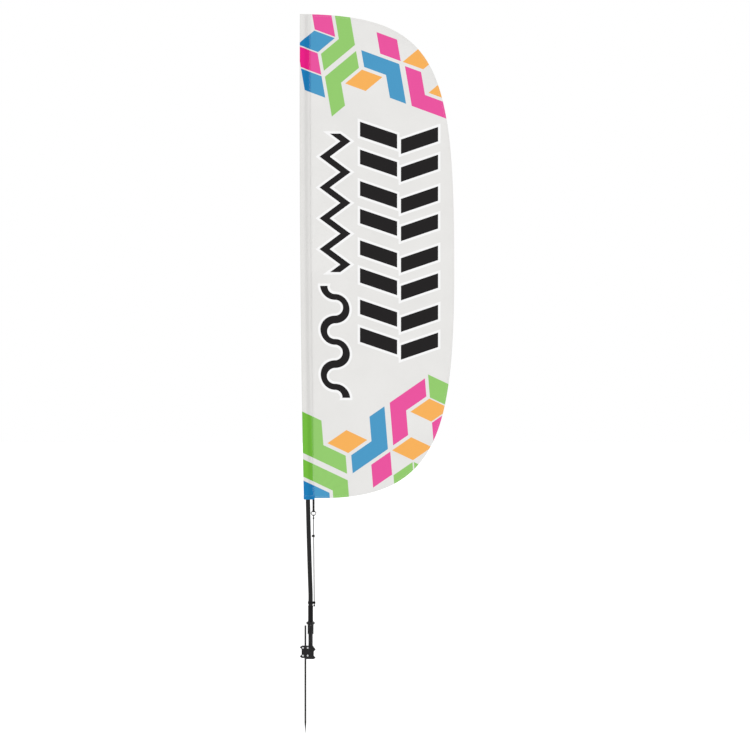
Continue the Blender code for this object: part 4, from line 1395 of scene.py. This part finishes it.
class FEATHER_OT_tether(bpy.types.Operator):
    """Make the strap, the ring, the cord with its knots, the band and the sliding stop"""

    bl_idname = "feather.tether"
    bl_label = "Tether"

    def execute(self, context):
        self.ring()
        self.strap()
        self.band()
        stop = self.stop()
        radius = context.scene.feather_hardware.cord_radius
        top = Vector((STRAP_MIDDLE.x, 0, CORD_HIGH.z))
        foot = Vector((KNOT_MIDDLE.x, 0, CORD_LOW.z))
        count = int((top - foot).length / (0.75 * MM))
        line = [top.lerp(foot, step / count) for step in range(count + 1)]
        shape = Shape()
        braid(shape, line, radius)
        cord = shape.make("tether_line", "cord", "pole", "tether_cord", 80)
        loop = self.loop(radius, top)
        shape = Shape()
        low, high = KNOT_LOW.z, KNOT_HIGH.z
        self.wraps(shape, foot.x, low, high)
        self.core(shape, foot.x, low + 0.4 * MM, high - 0.2 * MM)
        knot = shape.make("foot_knot", "cord", "pole", "tether_knot", 80, weld=False)
        return {"FINISHED"}

    def ring(self):
        """The bent wire ring between the strap and the cord, nearly a diamond."""
        wire = (RING_HIGH.y - RING_LOW.y) / 2
        half_width = (RING_HIGH.x - RING_LOW.x) / 2 - wire
        half_height = (RING_HIGH.z - RING_LOW.z) / 2 - wire
        power = 2 / 1.25
        line = []
        for turn in full_turn(720):
            across = math.copysign(abs(math.cos(turn)) ** power, math.cos(turn))
            up = math.copysign(abs(math.sin(turn)) ** power, math.sin(turn))
            line.append(RING_MIDDLE + Vector((half_width * across, 0, half_height * up)))
        line, _ = evenly([*line, line[0]], 121)
        rows = [
            [point + side * wire * math.cos(turn) + other * wire * math.sin(turn) for turn in full_turn(20)]
            for point, (_, side, other) in zip(line[:-1], swept_frames(line[:-1], closed=True))
        ]
        shape = Shape()
        shape.rings(rows, end_to_end=True)
        shape.make("link_ring", "paint", "pole", "tether_ring", 60)

    def strap(self):
        """The folded webbing, with the ring in its fold, sewn flat behind the sleeve."""
        wire = (RING_HIGH.y - RING_LOW.y) / 2
        thick, half = 1.1 * MM, 4.5 * MM
        fold = wire + thick / 2 + 0.15 * MM
        low = STRAP_LOW.z + thick / 2 + fold
        over = RING_HIGH.z + 1.2 * MM
        joined = over + 9 * MM
        top = STRAP_HIGH.z
        foot = SLEEVE_LOW.z
        middle = STRAP_MIDDLE.x
        sewn_part = [(0, top), (0, foot + 2 * MM), (0, foot - 4 * MM)]
        corners = [*sewn_part, (fold + 0.5 * MM, joined), (fold, over), (fold, low)]
        corners += [
            (fold * math.cos(turn), low - fold * math.sin(turn))
            for turn in (math.pi * step / 10 for step in range(1, 10))
        ]
        corners += [(-fold, low), (-fold, over), (fold - 0.9 * MM, joined), *reversed(sewn_part)]
        dense = []
        for index, ((y1, z1), (y2, z2)) in enumerate(zip(corners, corners[1:])):
            parts = max(1, int(math.dist((y1, z1), (y2, z2)) / (1.2 * MM)))
            layer = 0 if index < len(corners) // 2 else 1
            for step in range(parts):
                t = step / parts
                dense.append((y1 + (y2 - y1) * t, z1 + (z2 - z1) * t, layer))
        dense.append((*corners[-1], 1))

        def behind(across, z):
            """Y of the sleeve's back, or of its foot, where the strap lies on it."""
            return sleeve_depth(max(z, foot), middle + across - pole_x(z)) + 0.75 * MM

        rows = []
        for y, z, layer in dense:
            flat = smooth(z, joined, foot - 1 * MM)
            row = []
            for step in range(9):
                across = (step / 4 - 1) * half
                settled = behind(across, z) + thick * (0.5 + 1.05 * (1 - layer)) + 0.1 * MM
                row.append(Vector((middle + across, y * (1 - flat) + settled * flat, z)))
            rows.append(row)
        shape = Shape()
        shape.rings(rows, around=False)
        layered(shape.make("hoist_strap", "strap", "pole", "tether_strap", 60), thick)
        sewn = Shape()
        box_low, box_high = foot + 5 * MM, top - 4 * MM
        corners = [(-3.3, box_low), (3.3, box_low), (3.3, box_high), (-3.3, box_high)]
        lines = list(zip(corners, corners[1:] + corners[:1]))
        lines += [(corners[0], corners[2]), (corners[1], corners[3])]
        for (x1, z1), (x2, z2) in lines:
            first, second = Vector((x1 * MM, 0, z1)), Vector((x2 * MM, 0, z2))
            parts = max(2, int((second - first).length / (2.2 * MM)))
            for step in range(parts):
                spot = first.lerp(second, (step + 0.5) / parts)
                y = behind(spot.x, spot.z) + thick * 2.1 + 0.14 * MM
                spot = Vector((middle + spot.x, y, spot.z))
                sewn.stitch(spot, second - first, Vector((0.3, 1, 0)), 1.8 * MM)
        sewn.make("strap_stitches", "black_thread", "pole", angle=60, weld=False)

    def wraps(self, shape, x, low, high, turns=3):
        """Turns of cord wound round the line, one on the next."""
        reach, radius = 2.25 * MM, 1.55 * MM
        steps = 26 * turns
        line = []
        for step, turn in enumerate(angles(0, 2 * math.pi * turns, steps)):
            z = low + radius + (high - low - 2 * radius) * step / steps
            line.append(Vector((x + reach * math.cos(turn), reach * math.sin(turn), z)))
        braid(shape, line, radius, 16, lay=4 * MM)

    def core(self, shape, x, low, high):
        """The cord inside a knot."""
        foot, top = Vector((x, 0, low)), Vector((x, 0, high))
        braid(shape, [foot.lerp(top, step / 12) for step in range(13)], 1.9 * MM, 20)

    def loop(self, radius, top):
        """The cord's loop through the ring, and the knot that closes it."""
        shape = Shape()
        reach = 4.8 * MM
        centre = Vector((top.x, 0, RING_LOW.z + (RING_HIGH.y - RING_LOW.y) / 2))
        line = [centre + reach * Vector((0, math.sin(turn), -math.cos(turn))) for turn in full_turn(72)]
        braid(shape, line, radius * 0.97, 24, closed=True)
        low = top.z + 0.2 * MM
        high = centre.z - reach - radius * 0.2
        self.wraps(shape, top.x, low, high)
        self.core(shape, top.x, low, high)
        return shape.make("ring_loop", "cord", "pole", "tether_loop", 80, weld=False)

    def band(self):
        """The moulded band round the pole, with a lug that holds the cord."""
        reach = KNOT_MIDDLE.x - SWIVEL_X
        outer = (BAND_HIGH.y - BAND_LOW.y) / 2
        lug = 5 * MM
        spread = math.acos((outer - lug) / reach)
        outline = arc(0, 0, outer, angles(spread, 2 * math.pi - 2 * spread, 56))
        outline += arc(reach, 0, lug, angles(-spread, 2 * spread, 20))
        holes = [arc(0, 0, POLE_FIT, full_turn(56)), arc(reach, 0, CORD_HOLE, full_turn(28))]
        height = BAND_HIGH.z - BAND_LOW.z
        place_at = Matrix.Translation((SWIVEL_X, 0, (BAND_LOW.z + BAND_HIGH.z) / 2))
        mesh = solid_of([outline, *holes], height, 0.5 * MM, place_at)
        evenly_shaded(place("pole_band", mesh, "plastic", "pole", "tether_band", 32))

    def stop(self):
        """The small stop on the cord, with its nose to the pole."""
        radius, half, nose, height = 4.6 * MM, 2 * MM, 7.5 * MM, 9.95 * MM
        start = math.asin(half / radius)
        outline = arc(0, 0, radius, angles(-math.pi + start, 2 * math.pi - 2 * start, 44))
        outline += [(-nose, half * 0.7), (-nose, -half * 0.7)]
        tilt = math.atan2(KNOT_MIDDLE.x - STRAP_MIDDLE.x, CORD_HIGH.z - CORD_LOW.z)
        centre_z = (STOP_LOW.z + STOP_HIGH.z) / 2
        share = (CORD_HIGH.z - centre_z) / (CORD_HIGH.z - CORD_LOW.z)
        x = STRAP_MIDDLE.x + (KNOT_MIDDLE.x - STRAP_MIDDLE.x) * share
        place_at = Matrix.Translation((x, 0, centre_z)) @ Matrix.Rotation(-tilt, 4, "Y")
        mesh = solid_of([outline, arc(0, 0, CORD_HOLE, full_turn(28))], height, 0.6 * MM, place_at)
        piece = place("cord_slider", mesh, "plastic", "cord_stop", "cord_stop", 32)
        evenly_shaded(piece)
        return piece


class FEATHER_OT_stage(bpy.types.Operator):
    """Make the pale floor, the soft lamps and the camera"""

    bl_idname = "feather.stage"
    bl_label = "Stage"

    def execute(self, context):
        props = context.scene.feather_stage
        scene = context.scene
        scene.view_settings.view_transform = "Standard"
        world = bpy.data.worlds.new("studio")
        scene.world = world
        world.use_nodes = True
        background = world.node_tree.nodes["Background"]
        background.inputs["Color"].default_value = (1.0, 1.0, 1.0, 1.0)
        background.inputs["Strength"].default_value = 1.0
        mesh = bpy.data.meshes.new("floor")
        mesh.from_pydata([(-60, -60, 0), (60, -60, 0), (60, 60, 0), (-60, 60, 0)], [], [(0, 1, 2, 3)])
        floor = linked("floor", mesh)
        floor.location.z = SPIKE_LOW.z - 2 * MM
        board = Board("pale_floor", Roughness=0.9)
        tone = board.mix(board.noise(3.0, 3.0), (0.96, 0.96, 0.96, 1.0), (0.98, 0.98, 0.98, 1.0))
        mesh.materials.append(board.finish(Base_Color=tone))
        middle = Vector((0.2958, 0.0, 1.207))  # what the camera looks at
        for name, aim, spread, strength in (
            ("key", (0.42, 1.0, -0.80), 24.0, props.key_strength),
            ("rim", (-1.0, -0.8, -0.9), 40.0, props.key_strength * 0.3),
        ):
            lamp = linked(name, bpy.data.lights.new(name, "SUN"))
            lamp.data.angle = math.radians(spread)
            lamp.data.energy = strength
            lamp.location = middle - Vector(aim) * 5
            lamp.rotation_mode = "QUATERNION"
            lamp.rotation_quaternion = Vector(aim).to_track_quat("-Z", "Y")
        camera = linked("camera", bpy.data.cameras.new("camera"))
        camera.data.lens = camera.data.sensor_width * props.distance / props.view_width
        camera.location = middle - Vector((0, props.distance, 0))
        camera.rotation_euler = (math.pi / 2, 0, 0)
        scene.camera = camera
        return {"FINISHED"}


class FEATHER_PT_sidebar(bpy.types.Panel):
    """Lists the pieces of the flag and their settings"""

    bl_idname = "FEATHER_PT_sidebar"
    bl_label = "Feather Flag"
    bl_space_type = "VIEW_3D"
    bl_region_type = "UI"
    bl_category = "Feather Flag"

    def draw(self, context):
        for group in ("feather_stage", "feather_cloth", "feather_hardware"):
            settings = getattr(context.scene, group)
            column = self.layout.column(align=True)
            for name in settings.__annotations__:
                column.prop(settings, name)
        for operator in OPERATORS:
            self.layout.operator(operator.bl_idname)


OPERATORS = (
    FEATHER_OT_stage,
    FEATHER_OT_tether,
    FEATHER_OT_panel,
    FEATHER_OT_sleeve,
    FEATHER_OT_spike,
    FEATHER_OT_clamp,
    FEATHER_OT_swivel,
    FEATHER_OT_pole,
)
GROUPS = {
    "feather_cloth": FeatherCloth,
    "feather_hardware": FeatherHardware,
    "feather_stage": FeatherStage,
}


def register():
    for group in GROUPS.values():
        bpy.utils.register_class(group)
    for operator in OPERATORS:
        bpy.utils.register_class(operator)
    bpy.utils.register_class(FEATHER_PT_sidebar)
    for name, group in GROUPS.items():
        setattr(bpy.types.Scene, name, bpy.props.PointerProperty(type=group))


def unregister():
    for name in GROUPS:
        delattr(bpy.types.Scene, name)
    for item in (FEATHER_PT_sidebar, *OPERATORS, *GROUPS.values()):
        bpy.utils.unregister_class(item)


def main():
    register()
    for operator in OPERATORS:
        group, _, name = operator.bl_idname.partition(".")
        if getattr(getattr(bpy.ops, group), name)() != {"FINISHED"}:
            raise RuntimeError(f"{operator.bl_label} did not finish")


if __name__ == "__main__":
    main()
